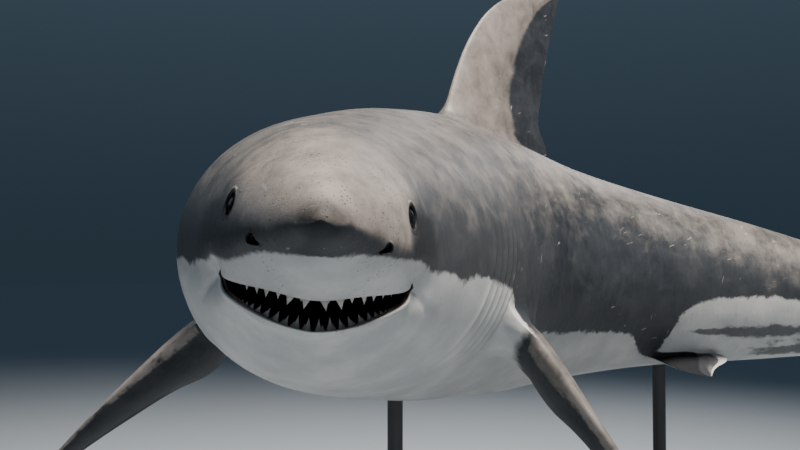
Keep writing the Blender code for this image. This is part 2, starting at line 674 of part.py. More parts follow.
def tooth_row(name, upper):
    """Triangular teeth along one jaw, rooted in the gum."""
    sh = Shape()
    n = TEETH_UP if upper else TEETH_LOW
    for k in range(n):
        x = -0.87 + 1.74 * k / (n - 1)
        root, along, tip_dir, inward = tooth_place(x, upper)
        size = tooth_size(x, upper)
        w, h, t = size
        base = [root - along * w / 2 - inward * t / 2, root + along * w / 2 - inward * t / 2,
                root + along * w / 2 + inward * t / 2, root - along * w / 2 + inward * t / 2]
        base = [b - tip_dir * 0.008 for b in base]
        tip = root + tip_dir * h + inward * h * 0.10
        top = [tip - along * .0007 - inward * .0006, tip + along * .0007 - inward * .0006,
               tip + along * .0007 + inward * .0006, tip - along * .0007 + inward * .0006]
        i = sh.add(np.array(base + top))
        sh.f.append((i[3], i[2], i[1], i[0]))
        sh.f.append((i[4], i[5], i[6], i[7]))
        for a in range(4):
            b = (a + 1) % 4
            sh.f.append((i[a], i[b], i[b + 4], i[a + 4]))
    return make_cutter(from_shape(name, sh, "skin_belly"))

# ---- teeth ------------------------------------------------------------------
TEETH_UP, TEETH_LOW = 18, 18


def lip_edge(x, upper):
    """Edge of a lip at x from -1 (right corner) to 1 (left corner)."""
    a = np.mod(np.asarray(x, float) * MOUTH_AC, 1.0)
    S = MOUTH_S0 - .0006 if upper else MOUTH_S0 + .0006
    return body_at(np.full(np.shape(a), S), a, fine=0.0)


def tooth_place(x, upper):
    """Root point on the gum, direction along the jaw, toward the tip, inward."""
    e = 0.004
    (p0, r0), (p1, r1), (p2, r2) = lip_edge(x, upper), lip_edge(x - e, upper), lip_edge(x + e, upper)
    along = p2 - p1
    along = along / np.linalg.norm(along)
    s, u, v = r0
    _, F, L, U = at_spine(s)
    inward = np.cross(U, along)
    if inward @ (-F * 1.0 - L * np.sign(u + 1e-9) * abs(u) / 0.048) < 0:
        inward = -inward
    inward /= np.linalg.norm(inward)
    tip = np.cross(along, inward)
    if tip @ U < 0:
        tip = -tip
    if upper:
        tip = -tip
    depth = 0.017 if upper else 0.020
    root = p0 + inward * depth - tip * (0.006 if upper else -0.003)
    return root, along, tip, inward


def tooth_size(x, upper):
    """Width, height and thickness of the tooth at x."""
    q = 1 - abs(x) ** 2.2
    if upper:
        return 0.012 + 0.013 * q, 0.010 + 0.014 * q, 0.0045
    return 0.009 + 0.010 * q, 0.008 + 0.017 * q, 0.0045


low = make_cutter(from_shape("head_for_jaw", tube(HEAD_RINGS, gap=GAP, tip=True, pocket=True), "skin_belly"))
jaw = bpy.data.objects.new("lower_jaw", low.data.copy())
parts.objects.link(jaw)
jaw.data.materials.clear()
jaw.data.materials.append(material("lower_jaw", "skin_belly"))
bpy.data.objects.remove(low)
boolean(jaw, jaw_block("jaw_wedge", 0.0), 'INTERSECT')
boolean(head, jaw_block("jaw_wedge_wide", GAP), 'DIFFERENCE')
boolean(jaw, tooth_row("teeth_lower", False), 'UNION').use_self = True
boolean(head, tooth_row("teeth_upper", True), 'UNION').use_self = True


def eye_frame(side):
    a = turn_for(EYE_S, EYE_V, side)
    S = find_ring(EYE_S, a)
    e = 0.002
    p, _ = body_at(S, a)
    ps, _ = body_at(S + e, a)
    pa, _ = body_at(S, a + e)
    n = np.cross(pa - p, ps - p)
    n /= np.linalg.norm(n)
    _, F, L, U = at_spine(EYE_S)
    if n @ (L * side) < 0:
        n = -n
    return p, n, S, a


EYE_PROUD = 0.0020
for side, tag in ((1, "left"), (-1, "right")):
    p, n, _, _ = eye_frame(side)
    centre = Vector(p - n * (EYE_R - EYE_PROUD))
    rot = Vector(n).to_track_quat('Z', 'Y').to_matrix().to_4x4()
    for kind, r in (("eye_", EYE_R), ("eye_socket_", EYE_R + GAP)):
        bm = bmesh.new()
        bmesh.ops.create_uvsphere(bm, u_segments=16, v_segments=8, radius=r)
        me = bpy.data.meshes.new(kind + tag)
        bm.to_mesh(me)
        bm.free()
        me.transform(Matrix.Translation(centre) @ rot)
        ob = new_object(kind + tag, me, "eye")
        if kind != "eye_":
            boolean(head, make_cutter(ob), 'DIFFERENCE')
    bm = bmesh.new()
    bmesh.ops.create_cone(bm, cap_ends=True, segments=16, radius1=EYE_OPEN, radius2=EYE_OPEN + .004, depth=0.030)
    me = bpy.data.meshes.new("eye_opening_" + tag)
    bm.to_mesh(me)
    bm.free()
    me.transform(Matrix.Translation(Vector(p + n * (0.015 - 0.0075))) @ rot)
    boolean(head, make_cutter(new_object("eye_opening_" + tag, me, "eye")), 'DIFFERENCE')


# fins: closed wings whose roots run into the body, trimmed by the swollen body
def fin_solid(name, m_side=9, n_out=11):
    f = FINS[name]
    O, c, y, n = fin_frame(f["s"], f["a"], f["root"] * f["k"],
                           *np.radians([f["sweep"], f["drop"], f["twist"]]), f["way"])
    le, te = curve2(f["le"]), curve2(f["te"])
    k = f["k"] * TL
    ph = np.linspace(0, 2 * np.pi, 2 * m_side, endpoint=False)
    x, sd = (1 - np.cos(ph)) / 2, np.sign(np.round(np.sin(ph), 9))
    sh = Shape()
    rows = []
    small = f["root"] < .03
    deep = 0.012 if small else f.get("deep", 0.030)
    A0, B0 = le(0.0), te(0.0)
    for w in np.r_[-1.0, 0.0, (1 - (1 - np.linspace(0, 1, n_out)[1:]) ** 1.25)]:
        if w < 0:
            A, B = A0 + (B0 - A0) * 0.04 - (0, deep), B0 - (B0 - A0) * 0.04 - (0, deep)
            w = 0.0
        else:
            A, B = le(w), te(w)
        t = f["tr"] + (f["tt"] - f["tr"]) * w ** f.get("thin", 0.8)
        ch = max(np.hypot(*(B - A)), 0.0006) * k
        hf = np.maximum(wing(x, t) * ch, 0.0011)
        p = A + (B - A) * x[:, None]
        if ch < 0.004:
            p = (A + B) / 2 + (B - A) / max(np.hypot(*(B - A)), 1e-9) * ((x - .5) * 0.004 / k)[:, None]
        mid = O + c * (p[:, :1] * k) + y * (p[:, 1:] * k) + n * (f["sag"] * TL * w * w)
        mid = mid + n * (f.get("cam", 0.0) * ch * x * x)[:, None]
        rows.append(sh.add(mid + n * (hf * np.where(sd == 0, 0, sd))[:, None]))
    for a, b in zip(rows, rows[1:]):
        sh.bridge(a, b)
    for r in (rows[0], rows[-1]):
        cc = sh.add(np.array([sh.v[i] for i in r]).mean(0))[0]
        sh.fan(r, cc)
    ob = from_shape(name, sh, "skin_back")
    boolean(ob, swollen, 'DIFFERENCE')
    return ob


for name in FINS:
    fin_solid(name, *{.016: (5, 5), .050: (6, 7)}.get(FINS[name]["root"], (8, 10)))


# tail lobes: lofts of upright sections from the fork ring to each tip
def lobe(name, upper, n_out=9):
    le, te = curve2(CU_LE if upper else CL_LE), curve2(CU_TE if upper else CL_TE)
    q = COLS[(COLS >= .25 - 1e-9) & (COLS <= .75 + 1e-9)] if upper else \
        np.r_[COLS[COLS >= .75 - 1e-9], COLS[COLS <= .25 + 1e-9]]
    p, r = body_at(np.full(len(q), S_END), q, fine=0.0)
    _, F, L, U = at_spine(S_END)
    sg = 1 if upper else -1
    p = p - F * GAP / 2
    p[[0, -1]] += U * sg * GAP / 2
    s0, vm = S_END, r[:, 2]
    sh = Shape()
    rows = [sh.add(p)]
    A0, B0 = le(0.0), te(0.0)
    # chord fraction of each loop point: 0 at the outer edge, 1 at the fork
    x = 1 - (vm * sg) / (vm * sg).max()
    x[[0, -1]] = 1.0
    x = np.clip(x, 0, 1)
    side = np.sign(r[:, 1])
    for w in (1 - (1 - np.linspace(0, 1, n_out)[1:]) ** 1.2):
        A, B = le(w), te(w)
        ch = max(np.hypot(*(B - A)), .0012)
        d = (B - A) / max(np.hypot(*(B - A)), 1e-9)
        pt = A + d * ch * x[:, None]
        hf = np.maximum(wing(np.clip(x, 0, 1), .10 + .03 * w) * ch, .00030)
        hf = hf * smooth(w, -.25, .10) + np.abs(r[:, 1]) * (1 - smooth(w, -.25, .10))
        hf = np.where(x < 1e-6, 0, np.maximum(hf, .00028))
        rows.append(sh.add(bend(pt[:, 0], side * hf, pt[:, 1])))
    for a, b in zip(rows, rows[1:]):
        sh.bridge(a, b)
    for rr in (rows[0], rows[-1]):
        cc = sh.add(np.array([sh.v[i] for i in rr]).mean(0))[0]
        sh.fan(rr, cc)
    return from_shape(name, sh, "skin_back")


lobe("caudal_fin_upper", True)
lobe("caudal_fin_lower", False)

# ---- display stand ----------------------------------------------------------
FLOOR = -BODY_HEIGHT
bm = bmesh.new()
bmesh.ops.create_cube(bm, size=1.0)
for v in bm.verts:
    v.co = Vector((BASE_AT[0] + v.co.x * BASE[1], BASE_AT[1] + v.co.y * BASE[0], FLOOR + BASE[2] * (v.co.z + .5)))
bmesh.ops.bevel(bm, geom=[e for e in bm.edges if abs(e.verts[0].co.z - e.verts[1].co.z) > .01], offset=0.12,
                segments=8, profile=0.5, affect='EDGES')
top_edges = [e for e in bm.edges if all(abs(v.co.z - (FLOOR + BASE[2])) < 1e-6 for v in e.verts)
             and len(e.link_faces) == 2 and any(abs(f.normal.z) < .5 for f in e.link_faces)]
bmesh.ops.bevel(bm, geom=top_edges, offset=0.006, segments=2, profile=0.5, affect='EDGES')
me = bpy.data.meshes.new("stand_base")
bm.to_mesh(me)
bm.free()
new_object("stand_base", me, "stand_steel")

for name, s in RODS:
    P, F, L, U = at_spine(s)
    foot_z = FLOOR + BASE[2] + GAP
    top = float(P[2] - TL * 0.055)
    prof = [(0.075, 0.0), (0.075, 0.010), (0.070, 0.014), (ROD_R + .010, 0.016), (ROD_R, 0.026), (ROD_R, top - foot_z)]
    sh = Shape()
    ang = np.linspace(0, 2 * np.pi, 16, endpoint=False)
    rows = [sh.add(np.stack([P[0] + r * np.cos(ang), P[1] + r * np.sin(ang), 0 * ang + foot_z + z], 1))
            for r, z in prof]
    for a, b in zip(rows, rows[1:]):
        sh.bridge(a, b)
    for rr in (rows[0], rows[-1]):
        cc = sh.add(np.array([sh.v[i] for i in rr]).mean(0))[0]
        sh.fan(rr, cc)
    ob = from_shape(name, sh, "stand_steel")
    boolean(ob, swollen, 'DIFFERENCE')

# ---- origin at the middle of the footprint of the whole model, on the floor ---
bpy.context.view_layer.update()
lo, hi = np.full(3, 1e9), np.full(3, -1e9)
for ob in parts.objects:
    co = np.array([v.co[:] for v in ob.data.vertices])
    if ob.name in FINS:
        co = co[len(co) // 3:]
    lo, hi = np.minimum(lo, co.min(0)), np.maximum(hi, co.max(0))
shift = Matrix.Translation(Vector((-(lo[0] + hi[0]) / 2, -(lo[1] + hi[1]) / 2, -FLOOR)))
for coll in (parts, cutters):
    for ob in coll.objects:
        ob.data.transform(shift)
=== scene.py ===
"""Looks of the great white shark model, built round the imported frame."""
import bpy
import bmesh
import math
import numpy as np
from mathutils import Vector, Matrix


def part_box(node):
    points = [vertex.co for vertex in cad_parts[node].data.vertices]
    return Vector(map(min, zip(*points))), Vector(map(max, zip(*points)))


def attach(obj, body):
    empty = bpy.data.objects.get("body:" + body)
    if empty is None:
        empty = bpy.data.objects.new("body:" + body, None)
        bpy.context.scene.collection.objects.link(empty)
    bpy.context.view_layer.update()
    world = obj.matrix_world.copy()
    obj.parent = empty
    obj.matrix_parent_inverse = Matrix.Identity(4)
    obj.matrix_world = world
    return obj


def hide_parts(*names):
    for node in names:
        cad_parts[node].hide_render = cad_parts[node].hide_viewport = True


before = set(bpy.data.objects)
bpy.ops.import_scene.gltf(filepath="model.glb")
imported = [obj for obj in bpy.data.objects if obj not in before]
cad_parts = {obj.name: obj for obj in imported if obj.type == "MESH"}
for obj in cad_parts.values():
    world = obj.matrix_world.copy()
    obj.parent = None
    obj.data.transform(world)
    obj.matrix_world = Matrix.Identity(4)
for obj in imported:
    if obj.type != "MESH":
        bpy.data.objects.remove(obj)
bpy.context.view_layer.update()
_b0, _b1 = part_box("stand_base")
# the spine point S_MID of the fish, from where the base stands
ORIGIN = np.array([(_b0[0] + _b1[0]) / 2 - 0.16, (_b0[1] + _b1[1]) / 2, _b0[2] + 1.02])

TL = 4.2                  # total length of the fish along its spine, metres

# Stations along the body: place s (snout 0, tail tip 1), then height of the
# back and of the belly, half width, height of the widest line, and the
# roundness of the lower half of the section. All are fractions of TL.
STATIONS = (
    (0.000, 0.0000, 0.0000, 0.0000, 0.000, 2.00),
    (0.010, 0.0117, -0.0092, 0.0119, 0.000, 2.00),
    (0.030, 0.0259, -0.0196, 0.0272, -0.001, 1.95),
    (0.045, 0.0340, -0.0262, 0.0350, -0.002, 1.85),
    (0.057, 0.0395, -0.0316, 0.0402, -0.003, 1.80),
    (0.070, 0.0442, -0.0400, 0.0460, -0.004, 1.78),
    (0.085, 0.0502, -0.0510, 0.0514, -0.004, 1.80),
    (0.100, 0.0552, -0.0608, 0.0568, -0.004, 1.85),
    (0.120, 0.0602, -0.0700, 0.0655, -0.004, 1.92),
    (0.150, 0.0680, -0.0777, 0.0793, -0.004, 2.00),
    (0.200, 0.0799, -0.0870, 0.0935, -0.004, 2.00),
    (0.260, 0.0935, -0.0945, 0.0990, -0.003, 2.00),
    (0.330, 0.1010, -0.1000, 0.0979, -0.002, 2.00),
    (0.400, 0.0950, -0.0985, 0.0926, 0.000, 2.00),
    (0.480, 0.0800, -0.0850, 0.0821, 0.000, 2.00),
    (0.560, 0.0668, -0.0690, 0.0681, 0.000, 2.00),
    (0.640, 0.0540, -0.0550, 0.0510, 0.000, 2.00),
    (0.720, 0.0378, -0.0375, 0.0335, 0.000, 2.00),
    (0.780, 0.0237, -0.0233, 0.0205, 0.000, 2.00),
    (0.815, 0.0180, -0.0178, 0.0150, 0.000, 2.00),
    (0.830, 0.0205, -0.0205, 0.0125, 0.000, 1.90),
    (0.845, 0.0320, -0.0320, 0.0090, 0.000, 1.70),
    (0.862, 0.0490, -0.0480, 0.0066, 0.000, 1.60),
    (0.884, 0.0710, -0.0730, 0.0046, 0.000, 1.60),
    (0.905, 0.0905, -0.0955, 0.0032, 0.000, 1.60))
S_END = 0.905             # ring at the fork, where the two tail lobes part

# The spine in plan: heading of the body at each place (degrees, 0 = toward
# -Y, positive = toward +X, the fish's left), and its climb toward the snout.
YAW_S = (0.0, 0.12, 0.24, 0.36, 0.48, 0.60, 0.74, 1.0)
YAW = (74.2, 72.4, 52.5, 29.3, 0.2, -20.4, -27.4, -24.7)
CLIMB_S = (0.05, 0.30, 0.60, 1.0)
CLIMB = (3.07, 0.05, 2.74, 3.41)
S_MID = 0.45              # the spine point that the bank turns about
BANK_DIR = (-70.19, 2.43) # line of the bank axis: heading from +Y, and rise
BANK = 4.21               # the whole fish banks this much, degrees

# Mouth
MOUTH_S0, MOUTH_SC = 0.0555, 0.0935  # front of the lips, corner of the mouth
MOUTH_AC = 0.194                    # corner, as a turn from the belly line
JAW_OPEN = 15.5                     # degrees
JAW_HINGE_S = 0.101
# Gill slits: places of the five slits, top and foot as turns from the belly
GILL_S = (0.186, 0.202, 0.217, 0.231, 0.244)
GILL_A = (0.120, 0.318)
# Eye
EYE_S, EYE_V = 0.0660, 0.0103
EYE_R, EYE_OPEN = 0.0280, 0.0205    # ball radius and opening radius, metres
NOS_S, NOS_V, NOS_U = 0.0360, -0.0075, 0.0278


def spline(xs, ys):
    """Natural cubic spline through (xs, ys)."""
    xs = np.asarray(xs, float)
    ys = np.asarray(ys, float)
    n = len(xs)
    h = np.diff(xs)
    A = np.zeros((n, n))
    b = np.zeros(n)
    A[0, 0] = A[-1, -1] = 1
    for i in range(1, n - 1):
        A[i, i - 1], A[i, i], A[i, i + 1] = h[i - 1], 2 * (h[i - 1] + h[i]), h[i]
        b[i] = 6 * ((ys[i + 1] - ys[i]) / h[i] - (ys[i] - ys[i - 1]) / h[i - 1])
    m = np.linalg.solve(A, b)

    def f(x):
        x = np.asarray(x, float)
        i = np.clip(np.searchsorted(xs, x) - 1, 0, n - 2)
        a, c, H = xs[i + 1] - x, x - xs[i], h[i]
        return (m[i] * a ** 3 / (6 * H) + m[i + 1] * c ** 3 / (6 * H)
                + (ys[i] / H - m[i] * H / 6) * a + (ys[i + 1] / H - m[i + 1] * H / 6) * c)
    return f


def pchip(xs, ys):
    """Monotone cubic through (xs, ys): no overshoot between the points."""
    xs = np.asarray(xs, float)
    ys = np.asarray(ys, float)
    h = np.diff(xs)
    d = np.diff(ys) / h
    m = np.zeros(len(xs))
    for i in range(1, len(xs) - 1):
        if d[i - 1] * d[i] > 0:
            w1, w2 = 2 * h[i] + h[i - 1], h[i] + 2 * h[i - 1]
            m[i] = (w1 + w2) / (w1 / d[i - 1] + w2 / d[i])
    m[0], m[-1] = d[0], d[-1]

    def f(x):
        x = np.asarray(x, float)
        i = np.clip(np.searchsorted(xs, x) - 1, 0, len(xs) - 2)
        t = (x - xs[i]) / h[i]
        return ((1 + 2 * t) * (1 - t) ** 2 * ys[i] + t * (1 - t) ** 2 * h[i] * m[i]
                + t * t * (3 - 2 * t) * ys[i + 1] + t * t * (t - 1) * h[i] * m[i + 1])
    return f


def smooth(x, a, b):
    t = np.clip((np.asarray(x, float) - a) / (b - a), 0, 1)
    return t * t * (3 - 2 * t)


def bell(x, w):
    return np.exp(-(np.asarray(x, float) / w) ** 2)


_st = np.array(STATIONS)
_t = np.sqrt(_st[:, 0])
f_top, f_bot, f_hw = pchip(_t, _st[:, 1]), pchip(_t, _st[:, 2]), pchip(_t, _st[:, 3])
f_mid, f_pb = pchip(_t, _st[:, 4]), pchip(_t, _st[:, 5])


def make_spine(n=1201):
    S = np.linspace(0, 1, n)
    ps = np.radians(spline(YAW_S, YAW)(S))
    th = np.radians(spline(CLIMB_S, CLIMB)(np.clip(S, CLIMB_S[0], 1)))
    F = np.stack([np.sin(ps) * np.cos(th), -np.cos(ps) * np.cos(th), np.sin(th)], 1)
    L = np.stack([np.cos(ps), np.sin(ps), 0 * ps], 1)
    U = np.cross(F, L)
    d = -(F[1:] + F[:-1]) / 2 * (S[1] - S[0])
    P = np.vstack([[0, 0, 0], np.cumsum(d, 0)])
    P = P - np.array([np.interp(S_MID, S, P[:, k]) for k in range(3)])
    # bank the whole fish about one level line
    y, p = np.radians(BANK_DIR[0]), np.radians(BANK_DIR[1])
    k = np.array([np.sin(y) * np.cos(p), np.cos(y) * np.cos(p), np.sin(p)])
    c, s = np.cos(np.radians(BANK)), np.sin(np.radians(BANK))
    R = c * np.eye(3) + s * np.array([[0, -k[2], k[1]], [k[2], 0, -k[0]], [-k[1], k[0], 0]]) \
        + (1 - c) * np.outer(k, k)
    return S, P @ R.T * TL, F @ R.T, L @ R.T, U @ R.T


SP = make_spine()


def at_spine(s):
    S, P, F, L, U = SP
    g = lambda A: np.stack([np.interp(s, S, A[:, k]) for k in range(3)], -1)
    return g(P), g(F), g(L), g(U)


def bend(s, u, v):
    """From straight body places (fractions of TL) to metres on the bent spine."""
    s = np.asarray(s, float)
    P, F, L, U = at_spine(s)
    return P + L * (np.asarray(u) * TL)[..., None] + U * (np.asarray(v) * TL)[..., None]


def side_turn(a):
    """Turn from the belly line, 0 at the belly, 0.5 at the back, either side."""
    a = np.mod(a, 1.0)
    return np.minimum(a, 1 - a)


def mouth_g(x):
    """How far back the lip line runs, 0 at the front and 1 at the corner."""
    x = np.abs(x)
    return np.where(x < 1, x ** 3, 1.0) * (1 - smooth(x, 1.04, 1.95))


def ring_to_s(S, a):
    """Ring lines bow back with the lips, and lean with the gill slits."""
    S = np.asarray(S, float)
    q = side_turn(a)
    up = np.clip(S / MOUTH_S0, 0, 1)
    b = np.where(S < MOUTH_S0, up ** 1.6, 1 - smooth(S, MOUTH_S0, 0.185))
    s = S + (MOUTH_SC - MOUTH_S0) * mouth_g(q / MOUTH_AC) * b
    bg = smooth(S, 0.160, 0.186) * (1 - smooth(S, 0.246, 0.285))
    lean = 0.010 * (q - 0.22) / 0.1 + 0.004 * ((q - 0.22) / 0.1) ** 2
    return s + bg * np.clip(lean, -0.012, 0.016) * smooth(q, 0.0, 0.14) * (1 - smooth(q, 0.34, 0.48))


def section(s, a):
    s = np.asarray(s, float)
    t = np.sqrt(np.clip(s, 0, None))
    th = 2 * np.pi * np.asarray(a, float)
    top, bot, w, m, pb = f_top(t), f_bot(t), f_hw(t), f_mid(t), f_pb(t)
    c, sn = np.cos(th), np.sin(th)
    p = np.where(c < 0, 2.0, pb)
    h = np.where(c < 0, top - m, m - bot)
    u = w * np.sign(sn) * np.abs(sn) ** (2 / p)
    v = m - h * np.sign(c) * np.abs(c) ** (2 / p)
    return u, v


def relief(S, s, a, fine=1.0):
    """Outward relief over the plain section, in metres."""
    q = side_turn(a)
    d = np.zeros(np.broadcast(S, a).shape)
    # keel along each side of the tail stalk
    d = d + 0.042 * bell(q - 0.25, 0.030) * smooth(s, 0.735, 0.80) * (1 - smooth(s, 0.838, 0.862))
    # brow over the eye, and a shallow hollow round the eye
    d = d + 0.0055 * bell(s - 0.069, 0.016) * bell(q - 0.335, 0.030)
    d = d - 0.0030 * bell(s - EYE_S, 0.010) * bell(q - 0.295, 0.026)
    # cheek behind the corner of the mouth, and the recess at the corner
    d = d - 0.018 * bell(s - MOUTH_SC, 0.011) * bell(q - MOUTH_AC, 0.022)
    d = d + 0.006 * bell(s - 0.122, 0.014) * bell(q - 0.185, 0.045)
    # the lower jaw's corner bulges below the fold that runs back from the corner
    d = d + 0.005 * bell(s - 0.100, 0.013) * bell(q - 0.150, 0.022)
    x = np.clip((s - 0.0965) / 0.019, 0, 1)
    fold = np.hypot((s - 0.0965 - 0.019 * x) * TL, (q - (MOUTH_AC - 0.006 - 0.016 * x)) * 1.45)
    d = d - 0.0060 * fine * bell(fold, 0.0070) * (1 - 0.6 * x)
    # lips: a low roll either side of the slit
    on = 1 - smooth(q, MOUTH_AC * 0.80, MOUTH_AC * 1.02)
    lip = (s - (MOUTH_S0 + (MOUTH_SC - MOUTH_S0) * mouth_g(q / MOUTH_AC))) * TL
    d = d + 0.0012 * fine * on * bell(lip + 0.012, 0.012) * (lip < 0)
    d = d + 0.0035 * fine * on * bell(lip - 0.012, 0.012) * (lip >= 0)
    # the chin is full under the middle of the lower lip
    d = d + 0.010 * (1 - smooth(q, 0.075, 0.160)) * bell(lip - 0.024, 0.022) * (lip >= 0)
    # gill slits: the flap ahead stands a little proud, then the skin drops in
    ga, gb = GILL_A
    for k, g in enumerate(GILL_S):
        top = gb - 0.006 * k
        foot = ga + 0.004 * k
        e = smooth(q, foot - 0.010, foot + 0.018) * (1 - smooth(q, top - 0.018, top + 0.008))
        x = (S - g) * TL
        d = d + e * np.where(x < 0, 0.0050 * np.exp(x / 0.018), 0.0050 * np.exp(-x / 0.006))
    # shoulder swell behind the last slit
    d = d + 0.010 * bell(s - 0.285, 0.030) * bell(q - 0.19, 0.05)
    return d


def jaw_drop(S, s, a, u, v):
    """Swing of the lower jaw about its hinge, for rings behind the slit."""
    q = side_turn(a)
    w = (S > MOUTH_S0) * (1 - smooth(q, MOUTH_AC * 0.97, MOUTH_AC * 1.25))
    r = JAW_HINGE_S - s
    r = 0.5 * (r + np.sqrt(r * r + 0.006 ** 2))
    k = np.tan(np.radians(JAW_OPEN))
    return s + 0.12 * k * r * w, v - k * r * w


def body_at(S, a, fine=1.0):
    """Point of the skin for ring S and turn a: metres, and straight place."""
    S, a = np.broadcast_arrays(np.asarray(S, float), np.asarray(a, float))
    s = ring_to_s(S, a)
    u, v = section(s, a)
    t = np.sqrt(np.clip(s, 1e-9, None))
    w, m = np.maximum(f_hw(t), 1e-5), f_mid(t)
    h = np.maximum(np.where(v > m, f_top(t) - m, m - f_bot(t)), 1e-5)
    nx, ny = u / w ** 2, (v - m) / h ** 2
    nn = np.hypot(nx, ny) + 1e-9
    d = relief(S, s, a, fine) / TL * smooth(s, 0.0, 0.02)
    u, v = u + d * nx / nn, v + d * ny / nn
    s, v = jaw_drop(S, s, a, u, v)
    # the section pinches at the fork
    pin = smooth(s, 0.835, S_END)
    f = 1 - pin * 0.55 * bell(v / 0.016, 1.0)
    u = u * f
    return bend(s, u, v), np.stack([s, u, v], -1)


def find_ring(s_want, a):
    """Ring value S whose line passes s_want at the turn a."""
    lo, hi = 0.0, 1.0
    for _ in range(50):
        m = (lo + hi) / 2
        if float(ring_to_s(m, a)) < s_want:
            lo = m
        else:
            hi = m
    return (lo + hi) / 2


def turn_for(s, v, side=1):
    """Turn whose point on section s has the height v."""
    lo, hi = 0.0, 0.5
    for _ in range(50):
        m = (lo + hi) / 2
        if float(section(s, m)[1]) < v:
            lo = m
        else:
            hi = m
    a = (lo + hi) / 2
    return a if side > 0 else 1 - a


# ---- fins -------------------------------------------------------------------
# Outlines in the plane of each fin: x back along the root, y out, as
# fractions of TL, front edge and rear edge from root to tip.
PEC_LE = ((0, 0), (.012, .035), (.033, .075), (.064, .118), (.098, .152), (.128, .172))
PEC_TE = ((.066, 0), (.092, .018), (.098, .028), (.094, .045), (.094, .080), (.103, .120),
          (.117, .152), (.1295, .1725))
D1_LE = ((0, 0), (.0040, .018), (.0115, .050), (.0215, .0755), (.0345, .0965), (.051, .1130),
         (.072, .1265), (.092, .1350), (.1095, .1390))
D1_TE = ((.098, 0), (.113, .0045), (.1125, .009), (.103, .022), (.1005, .045), (.102, .070),
         (.1045, .098), (.1080, .120), (.1115, .1382))
D2_LE = ((0, 0), (.0060, .0065), (.0130, .0120), (.0180, .0140))
D2_TE = ((.016, 0), (.025, .0030), (.0255, .0040), (.0190, .0085), (.0190, .0136))
AN_LE = ((0, 0), (.0065, .0075), (.0140, .0135), (.0195, .0160))
AN_TE = ((.016, 0), (.025, .0030), (.0255, .0042), (.0195, .0100), (.0205, .0156))
PV_LE = ((0, 0), (.0120, .0140), (.0270, .0280), (.0370, .0340))
PV_TE = ((.050, 0), (.064, .0050), (.0650, .0085), (.0520, .0200), (.0395, .0338))
# tail lobes in the side plane: s and height, from the fork ring to the tips
CU_LE = ((.905, .0905), (.927, .1090), (.952, .1275), (.980, .1465), (1.000, .1590))
CU_TE = ((.905, .0010), (.914, .0120), (.924, .0320), (.938, .0620), (.955, .0930), (.972, .1190),
         (.978, .1320), (.987, .1440), (.9985, .1575))
CL_LE = ((.905, -.0955), (.922, -.1100), (.940, -.1240), (.957, -.1360))
CL_TE = ((.905, -.0010), (.911, -.0120), (.916, -.0320), (.925, -.0640), (.938, -.0980), (.9565, -.1350))


def curve2(pts):
    pts = np.array(pts, float)
    d = np.r_[0, np.cumsum(np.hypot(*np.diff(pts, axis=0).T))]
    d /= d[-1]
    fx, fy = spline(d, pts[:, 0]), spline(d, pts[:, 1])
    return lambda w: np.stack([fx(w), fy(w)], -1)


def turn_about(v, k, t):
    k = k / np.linalg.norm(k)
    return v * np.cos(t) + np.cross(k, v) * np.sin(t) + k * (k @ v) * (1 - np.cos(t))


def fin_frame(s, a, length, sweep, drop, twist, upright):
    """Root point, chord, span and thickness directions of a fin on the skin."""
    P0, F0, L0, U0 = at_spine(s)
    u, v = section(s, a)
    O = P0 + L0 * float(u) * TL + U0 * float(v) * TL
    P1, _, L1, U1 = at_spine(s + length)
    u1, v1 = section(s + length, a)
    O1 = P1 + L1 * float(u1) * TL + U1 * float(v1) * TL
    cx = O1 - O
    cx = cx / np.linalg.norm(cx)
    base = {"up": U0, "down": -U0, "left": L0, "right": -L0}[upright]
    y = base - cx * (base @ cx)
    y /= np.linalg.norm(y)
    n = np.cross(cx, y)
    y, n = turn_about(y, cx, drop), turn_about(n, cx, drop)
    c, y = turn_about(cx, n, sweep), turn_about(y, n, sweep)
    c, n = turn_about(c, y, twist), turn_about(n, y, twist)
    return O, c, y, n


def wing(x, t):
    """Half thickness of a fin section at chord fraction x, thickness ratio t."""
    return t / 0.2 * (0.2969 * np.sqrt(x) - 0.1260 * x - 0.3516 * x ** 2
                      + 0.2843 * x ** 3 - 0.1015 * x ** 4)


